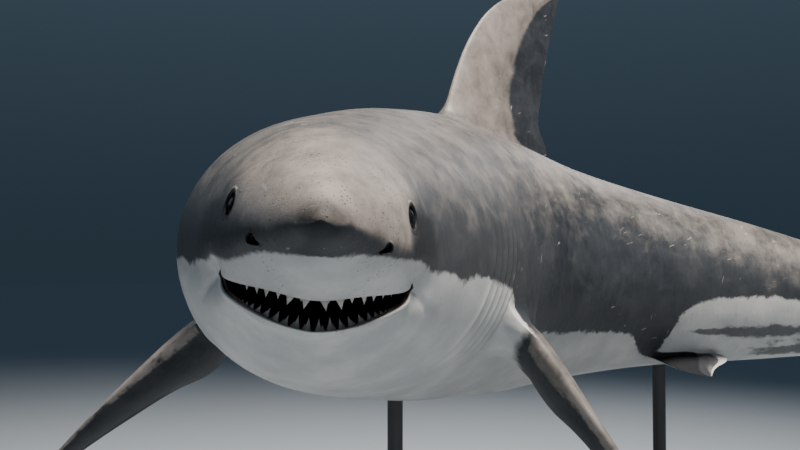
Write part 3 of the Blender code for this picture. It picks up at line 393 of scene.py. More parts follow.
FINS = {
    # name: ring place, turn, outline, root length, sweep, drop, twist (deg),
    # scale, thickness at root and tip, how it thins, droop of the rear edge,
    # droop of the tip, root direction
    "pectoral_fin_left": dict(s=.2573, a=.210, le=PEC_LE, te=PEC_TE, root=.066, sweep=18.0, drop=36.8,
                              twist=-32.8, k=.975, tr=.24, tt=.10, thin=1.3, cam=-.045, sag=-.010, way="left"),
    "pectoral_fin_right": dict(s=.2490, a=.812, le=PEC_LE, te=PEC_TE, root=.066, sweep=35.7, drop=-43.7,
                               twist=3.2, k=1.058, tr=.24, tt=.10, thin=1.3, cam=.045, sag=.010, way="right"),
    "first_dorsal_fin": dict(s=.3470, a=.500, le=D1_LE, te=D1_TE, root=.098, sweep=0.0, drop=-6.0,
                             twist=0.0, k=1.03, tr=.115, tt=.050, sag=0.0, way="up"),
    "second_dorsal_fin": dict(s=.7180, a=.500, le=D2_LE, te=D2_TE, root=.016, sweep=0.0, drop=0.0,
                              twist=0.0, k=1.0, tr=.16, tt=.07, sag=0.0, way="up"),
    "anal_fin": dict(s=.7360, a=.000, le=AN_LE, te=AN_TE, root=.016, sweep=0.0, drop=0.0,
                     twist=0.0, k=1.0, tr=.16, tt=.07, sag=0.0, way="down"),
    "pelvic_fin_left": dict(s=.5500, a=.091, le=PV_LE, te=PV_TE, root=.050, sweep=0.0, drop=30.0,
                            twist=0.0, k=0.93, tr=.11, tt=.05, sag=-.002, way="left"),
    "pelvic_fin_right": dict(s=.5500, a=.909, le=PV_LE, te=PV_TE, root=.050, sweep=0.0, drop=-30.0,
                             twist=0.0, k=0.93, tr=.11, tt=.05, sag=.002, way="right"),
}


def fin_sections(name, phi, n_out, n_fill, border, inward, edge=0.0012):
    """Rings of a fin: fillet from the border on the skin, then sections.

    phi is 0 at the front edge and pi at the rear edge of each side, signed by
    side; border is the loop on the skin, inward the skin direction toward the
    fin at each of its points."""
    f = FINS[name]
    O, c, y, n = fin_frame(f["s"], f["a"], f["root"] * f["k"], *np.radians([f["sweep"], f["drop"], f["twist"]]),
                           f["way"])
    le, te = curve2(f["le"]), curve2(f["te"])
    k = f["k"] * TL
    w0 = 0.16
    ws = w0 + (1 - w0) * (1 - (1 - np.linspace(0, 1, n_out)) ** 1.35)
    x = (1 - np.cos(phi)) / 2
    sd = np.sign(np.sin(phi))
    out = []
    for w in ws:
        A, B = le(w), te(w)
        t = f["tr"] + (f["tt"] - f["tr"]) * w ** f.get("thin", 0.8)
        ch = max(np.hypot(*(B - A)), 1e-4) * k
        half = wing(x, t) * ch
        half = np.maximum(half, edge * np.minimum(1.0, 6 * (1 - np.abs(2 * x - 1)) + 0.25 * (x > .5)))
        p = A + (B - A) * x[:, None]
        mid = O + c * (p[:, :1] * k) + y * (p[:, 1:] * k) + n * (f["sag"] * TL * w * w)
        mid = mid + n * (f.get("cam", 0.0) * ch * x * x)[:, None]
        out.append(mid + n * (half * sd)[:, None])
    Q = out[0]
    span = out[1] - out[0]
    span /= np.linalg.norm(span, axis=1)[:, None]
    dist = np.linalg.norm(Q - border, axis=1)[:, None]
    fill = []
    for t in np.linspace(0, 1, n_fill + 2)[1:-1]:
        h00, h10 = 2 * t ** 3 - 3 * t ** 2 + 1, t ** 3 - 2 * t ** 2 + t
        h01, h11 = -2 * t ** 3 + 3 * t ** 2, t ** 3 - t ** 2
        fill.append(h00 * border + h10 * inward * dist * 0.9 + h01 * Q + h11 * span * dist * 1.1)
    return fill + out


def loop_phi(m, n, eps=0.10):
    """Loop round a block of m rings by n columns, from the middle of its front
    edge: (ring step, column step, phi) for each vertex."""
    out = []
    h = n // 2
    for j in range(0, h + 1):
        out.append((0, h + j, eps * np.pi * j / h))
    for i in range(1, m):
        out.append((i, n, np.pi * (eps + (1 - 2 * eps) * i / m)))
    for j in range(h, -h - 1, -1):
        p = np.pi * (1 - eps * abs(j) / h)
        out.append((m, h + j, p if j > 0 else -p if j < 0 else np.pi))
    for i in range(m - 1, 0, -1):
        out.append((i, 0, -np.pi * (eps + (1 - 2 * eps) * i / m)))
    for j in range(-h, 0):
        out.append((0, h + j, -eps * np.pi * abs(j) / h))
    return out


class Shape:
    """Growing mesh: vertices, faces, and a straight-body place per vertex."""
    def __init__(self):
        self.v, self.f, self.r, self.g = [], [], [], []

    def add(self, pts, rest=None, tag=0.0):
        i = len(self.v)
        pts = np.asarray(pts).reshape(-1, 3)
        rest = pts if rest is None else np.asarray(rest).reshape(-1, 3)
        self.v.extend(pts.tolist())
        self.r.extend(rest.tolist())
        self.g.extend([tag] * len(pts))
        return list(range(i, i + len(pts)))

    def bridge(self, a, b, closed=True):
        n = len(a)
        for k in range(n if closed else n - 1):
            l = (k + 1) % n
            self.f.append((a[k], a[l], b[l], b[k]))

    def fan(self, ring, centre):
        n = len(ring)
        for k in range(n):
            self.f.append((ring[k], ring[(k + 1) % n], centre))


def build_mesh(name, sh):
    me = bpy.data.meshes.new(name)
    used = np.zeros(len(sh.v), bool)
    for f in sh.f:
        used[list(f)] = True
    idx = np.cumsum(used) - 1
    v = np.array(sh.v)[used]
    me.from_pydata(v.tolist(), [], [tuple(int(idx[i]) for i in f) for f in sh.f])
    me.validate()
    me.update()
    return me, used
# ---- the continuous skin ------------------------------------------------------
N1, N2, N3 = 58, 20, 62       # columns: belly to lip corner, to mid side, to the back line
_h = np.r_[np.linspace(0, MOUTH_AC, N1 + 1)[:-1], np.linspace(MOUTH_AC, .25, N2 + 1)[:-1],
           np.linspace(.25, .5, N3 + 1)]
COL = np.r_[_h, (1 - _h[1:-1])[::-1]]
NC = len(COL)
Q = side_turn(COL)
LIP = MOUTH_S0

# A gill slit in section, millimetres: nominal place behind the slit line,
# real place, and height over the plain skin. The flap ahead overhangs.
SLIT = ((-15, -15, 0.0), (-10, -9, 0.3), (-6, -4, 0.8), (-3, 0.5, 0.9), (-1.2, 3.8, 0.4), (0.2, 5.4, -1.6),
        (1.2, 4.6, -4.2), (2.2, 2.0, -9.0), (3.6, 0.6, -15.0), (5.2, 3.6, -17.5), (7.0, 7.4, -15.0),
        (9.2, 10.2, -9.5), (12.0, 13.0, -5.2), (16.0, 17.0, -2.4), (22.0, 22.5, -0.8))


def ring_places():
    """Ring values from the snout to the fork, with the slit rings among them."""
    at = (0, .012, .045, .0525, .0615, .070, .10, .155, .168, .262, .285, .36, .53, .56, .61, .65, .70, .715,
          .775, .80, .86, .905)
    mm = (3.2, 3.6, 4.2, 2.0, 2.0, 3.8, 4.6, 5.0, 4.6, 4.6, 6.0, 12.0, 11.0, 8.0, 8.0, 11.0, 8.0, 5.0,
          5.0, 7.0, 7.0, 4.5)
    S = [.01 * (k / 12) ** 2 for k in range(1, 13)]
    for a, b in ((.01, LIP - .0006), (LIP + .0006, S_END)):
        if a > S[-1]:
            S.append(a)
        n, x = 0.0, np.linspace(a, b, 4000)
        dens = TL * 1000 / np.interp(x, at, mm)
        cum = np.r_[0, np.cumsum((dens[1:] + dens[:-1]) / 2 * np.diff(x))]
        k = max(int(round(cum[-1])), 2)
        S.extend(np.interp(np.linspace(0, cum[-1], k + 1)[1:], cum, x).tolist())
    out = []
    for s in S:
        if all(not (SLIT[0][0] - 2.5 < (s - g) * TL * 1000 < SLIT[-1][0] + 2.5) for g in GILL_S):
            out.append((s, 0.0, 0.0, -1))
    for i, g in enumerate(GILL_S):
        for xn, xp, d in SLIT:
            out.append((g + xn / 1000 / TL, (xp - xn) / 1000, d / 1000, i))
    out.sort()
    return np.array(out)


RG = ring_places()
S_R = RG[:, 0]
NR = len(S_R)


def frames(S, a):
    """Skin point, straight place, unit directions back and round, and outward normal."""
    S, a = np.broadcast_arrays(np.asarray(S, float), np.asarray(a, float))
    e = 2e-4
    P, R = body_at(S, a)
    Pb, _ = body_at(S + e, a)
    Pf, _ = body_at(np.maximum(S - e, 1e-6), a)
    Pr, _ = body_at(S, a + e)
    Pl, _ = body_at(S, a - e)
    Ts, Ta = Pb - Pf, Pr - Pl
    N = np.cross(Ta, Ts)
    Ts = Ts / np.maximum(np.linalg.norm(Ts, axis=-1, keepdims=True), 1e-12)
    Ta = Ta / np.maximum(np.linalg.norm(Ta, axis=-1, keepdims=True), 1e-12)
    N = N / np.maximum(np.linalg.norm(N, axis=-1, keepdims=True), 1e-15)
    C = bend(R[..., 0], 0 * R[..., 1], 0 * R[..., 2])
    sg = np.sign(((P - C) * N).sum(-1, keepdims=True))
    return P, R, Ts, Ta, N * np.where(sg == 0, 1, sg)


GP, GR, GT, GA, GN = frames(S_R[:, None], COL[None, :])
for _k in np.nonzero(RG[:, 3] >= 0)[0]:
    _i = int(RG[_k, 3])
    _top, _foot = GILL_A[1] - .006 * _i, GILL_A[0] + .004 * _i
    _e = smooth(Q, _foot - .006, _foot + .016) * (1 - smooth(Q, _top - .016, _top + .004))
    GP[_k] += _e[:, None] * (GT[_k] * RG[_k, 1] + GN[_k] * RG[_k, 2])

VERT, FACE = [], []                       # grows with each piece of skin
INFO = []                                 # per vertex: s, q, kind, span, chord, side, mix
BODY, MOUTH, SOCKET, NOSTRIL, PECT, DORSAL, SMALL, PELVIC, TAIL = range(9)


def add(P, info):
    P = np.asarray(P, float).reshape(-1, 3)
    i = sum(len(v) for v in VERT)
    VERT.append(P)
    INFO.append(np.broadcast_to(np.asarray(info, float), (len(P), 8)).copy())
    return np.arange(i, i + len(P))


def info(s=0, q=0, kind=BODY, span=0, chord=0, side=0, mix=0, depth=0, n=1):
    return np.stack(np.broadcast_arrays(*[np.asarray(x, float) for x in
                                          (s, q, kind, span, chord, side, mix, depth)]), -1).reshape(-1, 8)


_depth = np.zeros((NR, NC))
for _k in np.nonzero(RG[:, 3] >= 0)[0]:
    _i = int(RG[_k, 3])
    _top, _foot = GILL_A[1] - .006 * _i, GILL_A[0] + .004 * _i
    _e = smooth(Q, _foot - .006, _foot + .016) * (1 - smooth(Q, _top - .016, _top + .004))
    _depth[_k] = _e * np.clip(-RG[_k, 2] / .010, 0, 1)
GRID = add(GP, info(GR[..., 0], Q[None, :] + 0 * GR[..., 0], BODY, depth=_depth)).reshape(NR, NC)
QUAD = np.ones((NR - 1, NC), bool)


def bridge(a, b, closed=True):
    n = len(a)
    for k in range(n if closed else n - 1):
        l = (k + 1) % n
        FACE.append((int(a[k]), int(a[l]), int(b[l]), int(b[k])))


def fan(ring, centre):
    n = len(ring)
    for k in range(n):
        FACE.append((int(ring[k]), int(ring[(k + 1) % n]), int(centre)))


def col_a(j):
    j = np.asarray(j)
    return COL[j % NC] + (j // NC)


def block(k0, k1, j0, j1):
    """Cuts a block of quads out of the skin; returns its border loop."""
    for j in range(j0, j1):
        QUAD[k0:k1, j % NC] = False
    kj = [(k0, j) for j in range(j0, j1 + 1)] + [(k, j1) for k in range(k0 + 1, k1 + 1)] \
        + [(k1, j) for j in range(j1 - 1, j0 - 1, -1)] + [(k, j0) for k in range(k1 - 1, k0, -1)]
    kj = np.array(kj)
    ids = GRID[kj[:, 0], kj[:, 1] % NC]
    return ids, S_R[kj[:, 0]], col_a(kj[:, 1]), kj


def nearest_place(P, lo=0, hi=None):
    d = np.linalg.norm(GP[lo:hi] - P, axis=-1)
    k, j = np.unravel_index(d.argmin(), d.shape)
    return k + lo, j


def skin_hole(Sc, ac, half, n_fill):
    """Block round a place, and rings that run in from it to a hole's edge."""
    P, R, Ts, Ta, N = frames(np.array([Sc]), np.array([ac]))
    P, N, Ts = P[0], N[0], Ts[0]
    e1 = Ts - N * (Ts @ N)
    e1 /= np.linalg.norm(e1)
    e2 = np.cross(N, e1)
    kc = int(np.abs(S_R - Sc).argmin())
    jc = int(np.abs(COL - ac % 1).argmin())
    m = 1
    while np.linalg.norm(GP[kc + m, jc] - GP[kc, jc]) < half:
        m += 1
    n = 1
    while np.linalg.norm(GP[kc, (jc + n) % NC] - GP[kc, jc]) < half:
        n += 1
    ids, bS, ba, _ = block(kc - m, kc + m, jc - n, jc + n)
    h = 1e-3
    J = np.stack([(body_at(Sc + h, ac)[0] - body_at(Sc - h, ac)[0]) / (2 * h),
                  (body_at(Sc, ac + h)[0] - body_at(Sc, ac - h)[0]) / (2 * h)], 1)
    Ji = np.linalg.pinv(J)
    B = np.concatenate(VERT)[ids] - P
    phi = np.arctan2(B @ e2, B @ e1)

    def place(rho):
        """(S, a) of the skin at each border angle, rho metres from the middle."""
        off = (rho * np.cos(phi))[:, None] * e1 + (rho * np.sin(phi))[:, None] * e2
        d = off @ Ji.T
        return Sc + d[:, 0], ac + d[:, 1]
    return ids, bS, ba, phi, P, N, e1, e2, place


# ---- eyes: an oval of bare ball in a round, slightly sunken rim -----------------
def eye_frame(side):
    a = turn_for(EYE_S, EYE_V, side)
    S = find_ring(EYE_S, a)
    e = 0.002
    p, _ = body_at(S, a)
    ps, _ = body_at(S + e, a)
    pa, _ = body_at(S, a + e)
    n = np.cross(pa - p, ps - p)
    n /= np.linalg.norm(n)
    _, F, L, U = at_spine(EYE_S)
    if n @ (L * side) < 0:
        n = -n
    return p, n, S, a


EYE_PROUD = 0.0020
for _side in (1, -1):
    _p, _n, _S, _a = eye_frame(_side)
    ids, bS, ba, phi, P0, N0, e1, e2, place = skin_hole(_S, _a, 0.041, 5)
    _c = _p - _n * (EYE_R - EYE_PROUD)
    prev = ids
    prof = ((0.0345, 0.0), (0.0315, .0004), (0.0290, .0008), (0.0271, .0009), (0.0254, .0004), (0.0241, -.0008),
            (0.0230, -.0022), (0.0220, -.0038), (0.0212, -.0050), (0.0206, -.0057))
    rim_S, rim_a = place(np.full(len(phi), 0.0345))
    for t in (0.25, 0.5, 0.75):
        S_, a_ = bS + (rim_S - bS) * t, ba + (rim_a - ba) * t
        P_, R_ = body_at(S_, a_)
        cur = add(P_, info(R_[:, 0], side_turn(a_), BODY))
        bridge(prev, cur)
        prev = cur
    for rho, z in prof:
        S_, a_ = place(np.full(len(phi), rho))
        P_, R_ = body_at(S_, a_)
        w = smooth(rho, 0.0335, 0.022)
        flat = _p + (rho * np.cos(phi))[:, None] * e1 + (rho * np.sin(phi))[:, None] * e2
        flat = flat - _n * ((flat - _p) @ _n)[:, None]
        X = P_ * (1 - w) + flat * w + _n * z
        cur = add(X, info(R_[:, 0], side_turn(a_), BODY, depth=smooth(rho, .0250, .0215) * .8,
                          mix=smooth(rho, .0338, .0262)))
        bridge(prev, cur)
        prev = cur
    for rho, z in ((.0206, -.0064), (.0221, -.0084), (.0248, -.0122), (.0273, -.0175), (.0288, -.0258),
                   (.0273, -.0357), (.0220, -.0440), (.0132, -.0506)):
        X = _p + (rho * np.cos(phi))[:, None] * e1 + (rho * np.sin(phi))[:, None] * e2
        X = X - _n * ((X - _p) @ _n)[:, None] + _n * z
        cur = add(X, info(EYE_S, .3, SOCKET, depth=1.0))
        bridge(prev, cur)
        prev = cur
    fan(prev, add(_p - _n * .0545, info(EYE_S, .3, SOCKET, depth=1.0))[0])

# ---- nostrils: a short slit with a flap at its front edge -----------------------
for _side in (1, -1):
    _a = turn_for(NOS_S, NOS_V, _side)
    _S = find_ring(NOS_S, _a)
    ids, bS, ba, phi, P0, N0, e1, e2, place = skin_hole(_S, _a, 0.0265, 3)
    tilt = np.radians(62.0) * _side * (1 if e2 @ at_spine(NOS_S)[3] * _side > 0 else -1)
    c_, s_ = np.cos(phi - tilt), np.sin(phi - tilt)
    oval = 1 / np.sqrt((c_ / 0.0130) ** 2 + (s_ / 0.0100) ** 2)
    flap = 0.20 * bell(np.angle(np.exp(1j * (phi - np.pi * .92 * np.sign(tilt)))), .55)
    oval = oval * (1 - flap)
    rim = oval + 0.0068
    rim_S, rim_a = place(rim)
    prev = ids
    for t in (0.35, 0.7):
        S_, a_ = bS + (rim_S - bS) * t, ba + (rim_a - ba) * t
        P_, R_ = body_at(S_, a_)
        cur = add(P_, info(R_[:, 0], side_turn(a_), BODY))
        bridge(prev, cur)
        prev = cur
    for g, z, dp in ((.0068, 0.0, 0), (.0045, .0007, 0), (.0026, .0011, 0), (.0012, .0006, .1), (.0003, -.0008, .5),
                     (-.0002, -.0030, .9), (-.0004, -.0070, 1.0), (-.0006, -.0110, 1.0)):
        S_, a_ = place(np.maximum(oval + g, .0008))
        P_, R_ = body_at(S_, a_)
        # the front edge sinks and the rear edge stands, so that the hole faces forward
        scoop = np.cos(phi) * .0052 * smooth(g, .0068, .0006)
        cur = add(P_ + N0 * (z + scoop)[:, None], info(R_[:, 0], side_turn(a_), BODY if z > -.002 else NOSTRIL,
                                                       depth=dp, mix=.75 * smooth(g, .0050, .0015)))
        bridge(prev, cur)
        prev = cur
    fan(prev, add(P0 - N0 * .0135, info(NOS_S, .2, NOSTRIL, depth=1.0))[0])

# ---- mouth: lips roll in to gums, palate and floor -------------------------------
KU = int(np.abs(S_R - (LIP - .0006)).argmin())
KL = KU + 1
_js = np.arange(-N1, N1 + 1)
_x = _js / N1
QUAD[KU, _js[:-1] % NC] = False


def lip_frame(upper):
    """Lip edge points with directions along, inward and up."""
    S = S_R[KU] if upper else S_R[KL]
    a = COL[_js % NC]
    E, R = body_at(np.full(len(a), S), a)
    along = np.gradient(E, axis=0)
    along /= np.linalg.norm(along, axis=1)[:, None]
    _, F, L, U = at_spine(R[:, 0])
    inn = np.cross(U, along)
    want = -F - L * (np.sign(R[:, 1]) * np.abs(R[:, 1]) / .048)[:, None]
    inn *= np.sign((inn * want).sum(1))[:, None]
    inn /= np.linalg.norm(inn, axis=1)[:, None]
    up = np.cross(along, inn)
    up *= np.sign((up * U).sum(1))[:, None]
    return E, R, along, inn, up


LIP_IN_UP = ((1.4, -1.1), (3.4, -1.9), (6.0, -1.8), (8.4, -.2), (10.2, 3.0), (11.6, 7.5), (13.0, 12.0), (15.5, 15.0),
             (19.0, 15.6), (23.0, 15.4), (28.0, 17.0), (36.0, 20.5), (48.0, 24.0))
LIP_IN_LO = ((1.4, 1.2), (3.6, 1.9), (6.4, 1.6), (9.0, .4), (11.2, -1.4), (13.0, -2.2), (14.6, -1.2), (16.2, 1.2),
             (18.6, 2.4), (22.6, 1.6), (27.0, -3.0), (36.0, -8.0), (48.0, -12.0))
E_U, R_U, A_U, I_U, U_U = lip_frame(True)
E_L, R_L, A_L, I_L, U_L = lip_frame(False)
_g = np.clip((1 - np.abs(_x)) / .16, 0, 1) ** .8
_gi, _gz = (.22 + .78 * _g)[:, None], (.12 + .88 * _g)[:, None]
prev = np.r_[GRID[KU, _js % NC], GRID[KL, _js[::-1] % NC]]
nl = len(_js)
for (iu, zu), (il, zl) in zip(LIP_IN_UP, LIP_IN_LO):
    X = np.vstack([E_U + (I_U * iu * _gi + U_U * zu * _gz) / 1000,
                   (E_L + (I_L * il * _gi + U_L * zl * _gz) / 1000)[::-1]])
    t = smooth(iu, 1.0, 7.0)
    cur = add(X, info(np.r_[R_U[:, 0], R_L[::-1, 0]], np.r_[side_turn(_x * MOUTH_AC), side_turn(_x * MOUTH_AC)],
                      MOUTH if iu > 4 else BODY, span=iu / 48, mix=t,
                      depth=np.maximum(smooth(iu, 14, 48), .85 * smooth(np.abs(np.r_[_x, _x]), .74, .97) * smooth(iu, 4, 9))))
    bridge(prev, cur)
    prev = cur
    last = X
_us = 0.031 * np.sin(_x * np.pi / 2)
T_U = bend(np.full(nl, .122), _us, -.0125 + .0040 * (1 - _x ** 2))
T_L = bend(np.full(nl, .122), _us, -.0290 - .0030 * (1 - _x ** 2))[::-1]
T = np.vstack([T_U, T_L])
for t in np.linspace(0, 1, 9)[1:]:
    X = last + (T - last) * t
    tongue = np.r_[np.zeros(nl), (bell(_x, .42) * .014 * np.sin(np.pi * min(1.0, t * 1.15)) ** .7)[::-1]] \
        if t < .86 else np.zeros(2 * nl)
    X = X + np.vstack([U_U, U_L[::-1]]) * tongue[:, None]
    cur = add(X, info(.11, .05, MOUTH, span=1 + t, mix=1.0, depth=1.0))
    bridge(prev, cur)
    prev = cur
for k in range(nl - 1):
    FACE.append((int(prev[k]), int(prev[k + 1]), int(prev[2 * nl - 2 - k]), int(prev[2 * nl - 1 - k])))


# ---- fins: the skin flows up a fillet into each blade ----------------------------
def fin_axes(name):
    f = FINS[name]
    return fin_frame(f["s"], f["a"], f["root"] * f["k"], *np.radians([f["sweep"], f["drop"], f["twist"]]), f["way"])


def add_fin(name, kind, fore, aft, sides, w0, n_fill, n_out, under):
    f = FINS[name]
    O, c, y, n = fin_axes(name)
    le, te = curve2(f["le"]), curve2(f["te"])
    k = f["k"] * TL
    A0, B0 = le(0.0), te(0.0)
    half_t = wing(np.array([.3]), f["tr"])[0] * np.hypot(*(B0 - A0)) * k

    def foot(px, pn):
        """Grid place under a point of the root, looking in along the span."""
        X = O + c * px + n * pn
        d = GP - X
        t = (d * y).sum(-1)
        r = np.linalg.norm(d - y * t[..., None], axis=-1)
        r = np.where((t < .12) & (t > -.30) & ((GN * y).sum(-1) > -.1), r, 1e9)
        return np.unravel_index(r.argmin(), r.shape)
    spots = [foot(px, pn) for px in (A0[0] * k - fore, (A0[0] + B0[0]) / 2 * k, B0[0] * k + aft)
             for pn in ((0.0,) if px in (A0[0] * k - fore, B0[0] * k + aft) else (-half_t - sides, half_t + sides))]
    jm = spots[1][1]
    ks = [p[0] for p in spots]
    js = [int(p[1]) if abs(p[1] - jm) < NC / 2 else int(p[1]) + (NC if p[1] < jm else -NC) for p in spots]
    ids, bS, ba, kj = block(min(ks), max(ks), min(js), max(js))
    V = np.concatenate(VERT)
    B = V[ids]
    # axes of the root on the skin
    P1, P2 = GP[spots[0]], GP[spots[-1]]
    cx = (P2 - P1) / np.linalg.norm(P2 - P1)
    mid = (B.max(0) + B.min(0)) / 2
    mid = (P1 + P2) / 2
    nx = n - cx * (n @ cx)
    nx /= np.linalg.norm(nx)
    X, Y = (B - mid) @ cx, (B - mid) @ nx
    a_, b_ = np.abs(X).max(), np.abs(Y).max()
    phi = np.arctan2(Y / b_, -X / a_)
    i0, i1 = int(np.abs(phi).argmin()), int((np.pi - np.abs(phi)).argmin())
    phi[i0], phi[i1] = 0.0, np.pi
    # even spacing of the same loop, from the front edge round
    m = len(phi)
    way = 1 if phi[(i0 + 2) % m] > 0 else -1
    even = np.zeros(m)
    n1 = (i1 - i0) % m
    for q in range(m):
        z = (q - i0) % m
        even[q] = np.pi * z / n1 if z <= n1 else -np.pi * (m - z) / (m - n1)
    even *= way
    even[i1] = np.pi
    kN = GN[kj[:, 0], kj[:, 1] % NC]
    ws = w0 + (1 - w0) * (1 - (1 - np.linspace(0, 1, n_out)) ** 1.45)
    rows = []
    for r, w in enumerate(ws):
        bl = smooth(r, 0, n_out * .5)
        d_ = np.angle(np.exp(1j * (even - phi)))
        ph = phi + d_ * bl
        x = (1 - np.cos(ph)) / 2
        sd = np.sin(ph)
        sd = np.where(np.abs(sd) < 1e-9, 0, np.sign(sd))
        A, Bq = le(w), te(w)
        t = f["tr"] + (f["tt"] - f["tr"]) * w ** f.get("thin", 0.8)
        ch = max(np.hypot(*(Bq - A)), .0010) * k
        hf = wing(x, t) * ch
        floor_ = .0011 * np.clip(np.minimum(x, 1 - x) / .03, 0, 1) ** .5
        hf = np.maximum(hf, np.where(x > .5, np.maximum(floor_, .0007), floor_ * .6)) * np.where(sd == 0, 0, 1)
        p = A + (Bq - A) * x[:, None]
        M = O + c * (p[:, :1] * k) + y * (p[:, 1:] * k) + n * (f["sag"] * TL * w * w)
        M = M + n * (f.get("cam", 0.0) * ch * x * x)[:, None]
        rows.append((M + n * (hf * sd)[:, None], x, sd, w))
    Q0, Q1 = rows[0][0], rows[1][0]
    span = Q1 - Q0
    span /= np.linalg.norm(span, axis=1)[:, None]
    dist = np.linalg.norm(Q0 - B, axis=1)[:, None]
    inw = Q0 - B
    inw = inw - kN * (inw * kN).sum(1)[:, None]
    inw /= np.maximum(np.linalg.norm(inw, axis=1), 1e-9)[:, None]
    bi = np.concatenate(INFO)[ids]
    prev = ids
    under_side = under
    for t in np.linspace(0, 1, n_fill + 2)[1:-1]:
        h00, h10 = 2 * t ** 3 - 3 * t ** 2 + 1, t ** 3 - 2 * t ** 2 + t
        h01, h11 = -2 * t ** 3 + 3 * t ** 2, t ** 3 - t ** 2
        X = h00 * B + h10 * inw * dist * 0.9 + h01 * Q0 + h11 * span * dist * 1.0
        cur = add(X, info(bi[:, 0], bi[:, 1], kind, span=t - 1, chord=rows[0][1], side=rows[0][2] * under_side))
        bridge(prev, cur)
        prev = cur
    for X, x, sd, w in rows:
        cur = add(X, info(bi[:, 0], bi[:, 1], kind, span=w, chord=x, side=sd * under_side))
        bridge(prev, cur)
        prev = cur
    tip = X.mean(0)
    fan(prev, add(tip, info(bi[:, 0].mean(), bi[:, 1].mean(), kind, span=1, chord=.5, side=0))[0])
    return m


def up_sign(name):
    """+1 where the +n side of the fin is its upper side."""
    O, c, y, n = fin_axes(name)
    return 1 if n[2] > 0 else -1


for _name, _arg in (("pectoral_fin_left", (PECT, .030, .020, .026, .13, 12, 44)),
                    ("pectoral_fin_right", (PECT, .030, .020, .026, .13, 12, 44)),
                    ("first_dorsal_fin", (DORSAL, .040, .012, .034, .10, 10, 44)),
                    ("second_dorsal_fin", (SMALL, .014, .006, .012, .14, 5, 16)),
                    ("anal_fin", (SMALL, .014, .006, .012, .14, 5, 16)),
                    ("pelvic_fin_left", (PELVIC, .022, .012, .018, .14, 7, 24)),
                    ("pelvic_fin_right", (PELVIC, .022, .012, .018, .14, 7, 24))):
    add_fin(_name, *_arg, up_sign(_name))


# ---- tail lobes, from the last ring -----------------------------------------------
def lobe(upper, n_out=46):
    le, te = curve2(CU_LE if upper else CL_LE), curve2(CU_TE if upper else CL_TE)
    j0, j1 = (N1 + N2, N1 + N2 + 2 * N3) if upper else (-(N1 + N2), N1 + N2)
    js = np.arange(j0, j1 + 1)
    ids = GRID[NR - 1, js % NC]
    R = GR[NR - 1, js % NC]
    sg = 1 if upper else -1
    s0 = R[:, 0]
    side = np.sign(R[:, 1])
    hv = R[:, 2] * sg
    x = 1 - hv / hv.max()
    x = np.clip(x, 0, 1)
    x[[0, -1]] = 1.0
    w3 = np.array([.5, 0.0, -.5])
    u_edge = R[-1, 1]
    web = WEB if upper else WEB[::-1]
    loop = np.r_[ids, web]
    xs = np.r_[x, 1, 1, 1]
    us = np.r_[np.abs(R[:, 1]) * side, u_edge * .5, 0.0, -u_edge * .5]
    prev = loop
    ws = 1 - (1 - np.linspace(0, 1, n_out)[1:]) ** 1.3
    for w in ws:
        A, B = le(w), te(w)
        ch = max(np.hypot(*(B - A)), .0009)
        d = (B - A) / max(np.hypot(*(B - A)), 1e-9)
        pt = A + d * ch * xs[:, None]
        hf = wing(np.clip(xs, 0, 1), .10 + .03 * w) * ch
        hf = np.maximum(hf, .00026 * np.clip(xs / .04, 0, 1) ** .5)
        hf = np.r_[hf[:-3] * side, .00026 * .5, 0, -.00026 * .5] if us[-3] > 0 else \
            np.r_[hf[:-3] * side, -.00026 * .5, 0, .00026 * .5]
        b = smooth(w, 0, .22)
        u = us * (1 - b) + hf * b
        X = bend(pt[:, 0], u, pt[:, 1])
        cur = add(X, info(pt[:, 0], .25 + .25 * sg * .5, TAIL, span=w, chord=xs, side=sg))
        bridge(prev, cur)
        prev = cur
    fan(prev, add(X.mean(0), info(.99, .4, TAIL, span=1, chord=.5, side=sg))[0])


_a, _b = GP[NR - 1, N1 + N2], GP[NR - 1, (-(N1 + N2)) % NC]
# the fork's edge, across the thickness: from the right side to the left
_mid = GR[NR - 1, N1 + N2]
WEB = add(np.array([_b + (_a - _b) * t for t in (.25, .5, .75)]), info(S_END, .25, TAIL, span=0, chord=1))
lobe(True)
lobe(False)

# nose tip, and the plain quads that are left
_t = add(bend(0.0, 0.0, 0.0), info(0, .25, BODY))[0]
fan(GRID[0], _t)
_k, _j = np.nonzero(QUAD)
_l = (_j + 1) % NC
PLAIN = np.stack([GRID[_k, _j], GRID[_k, _l], GRID[_k + 1, _l], GRID[_k + 1, _j]], 1)
SKIN_V = np.concatenate(VERT)
SKIN_I = np.concatenate(INFO)


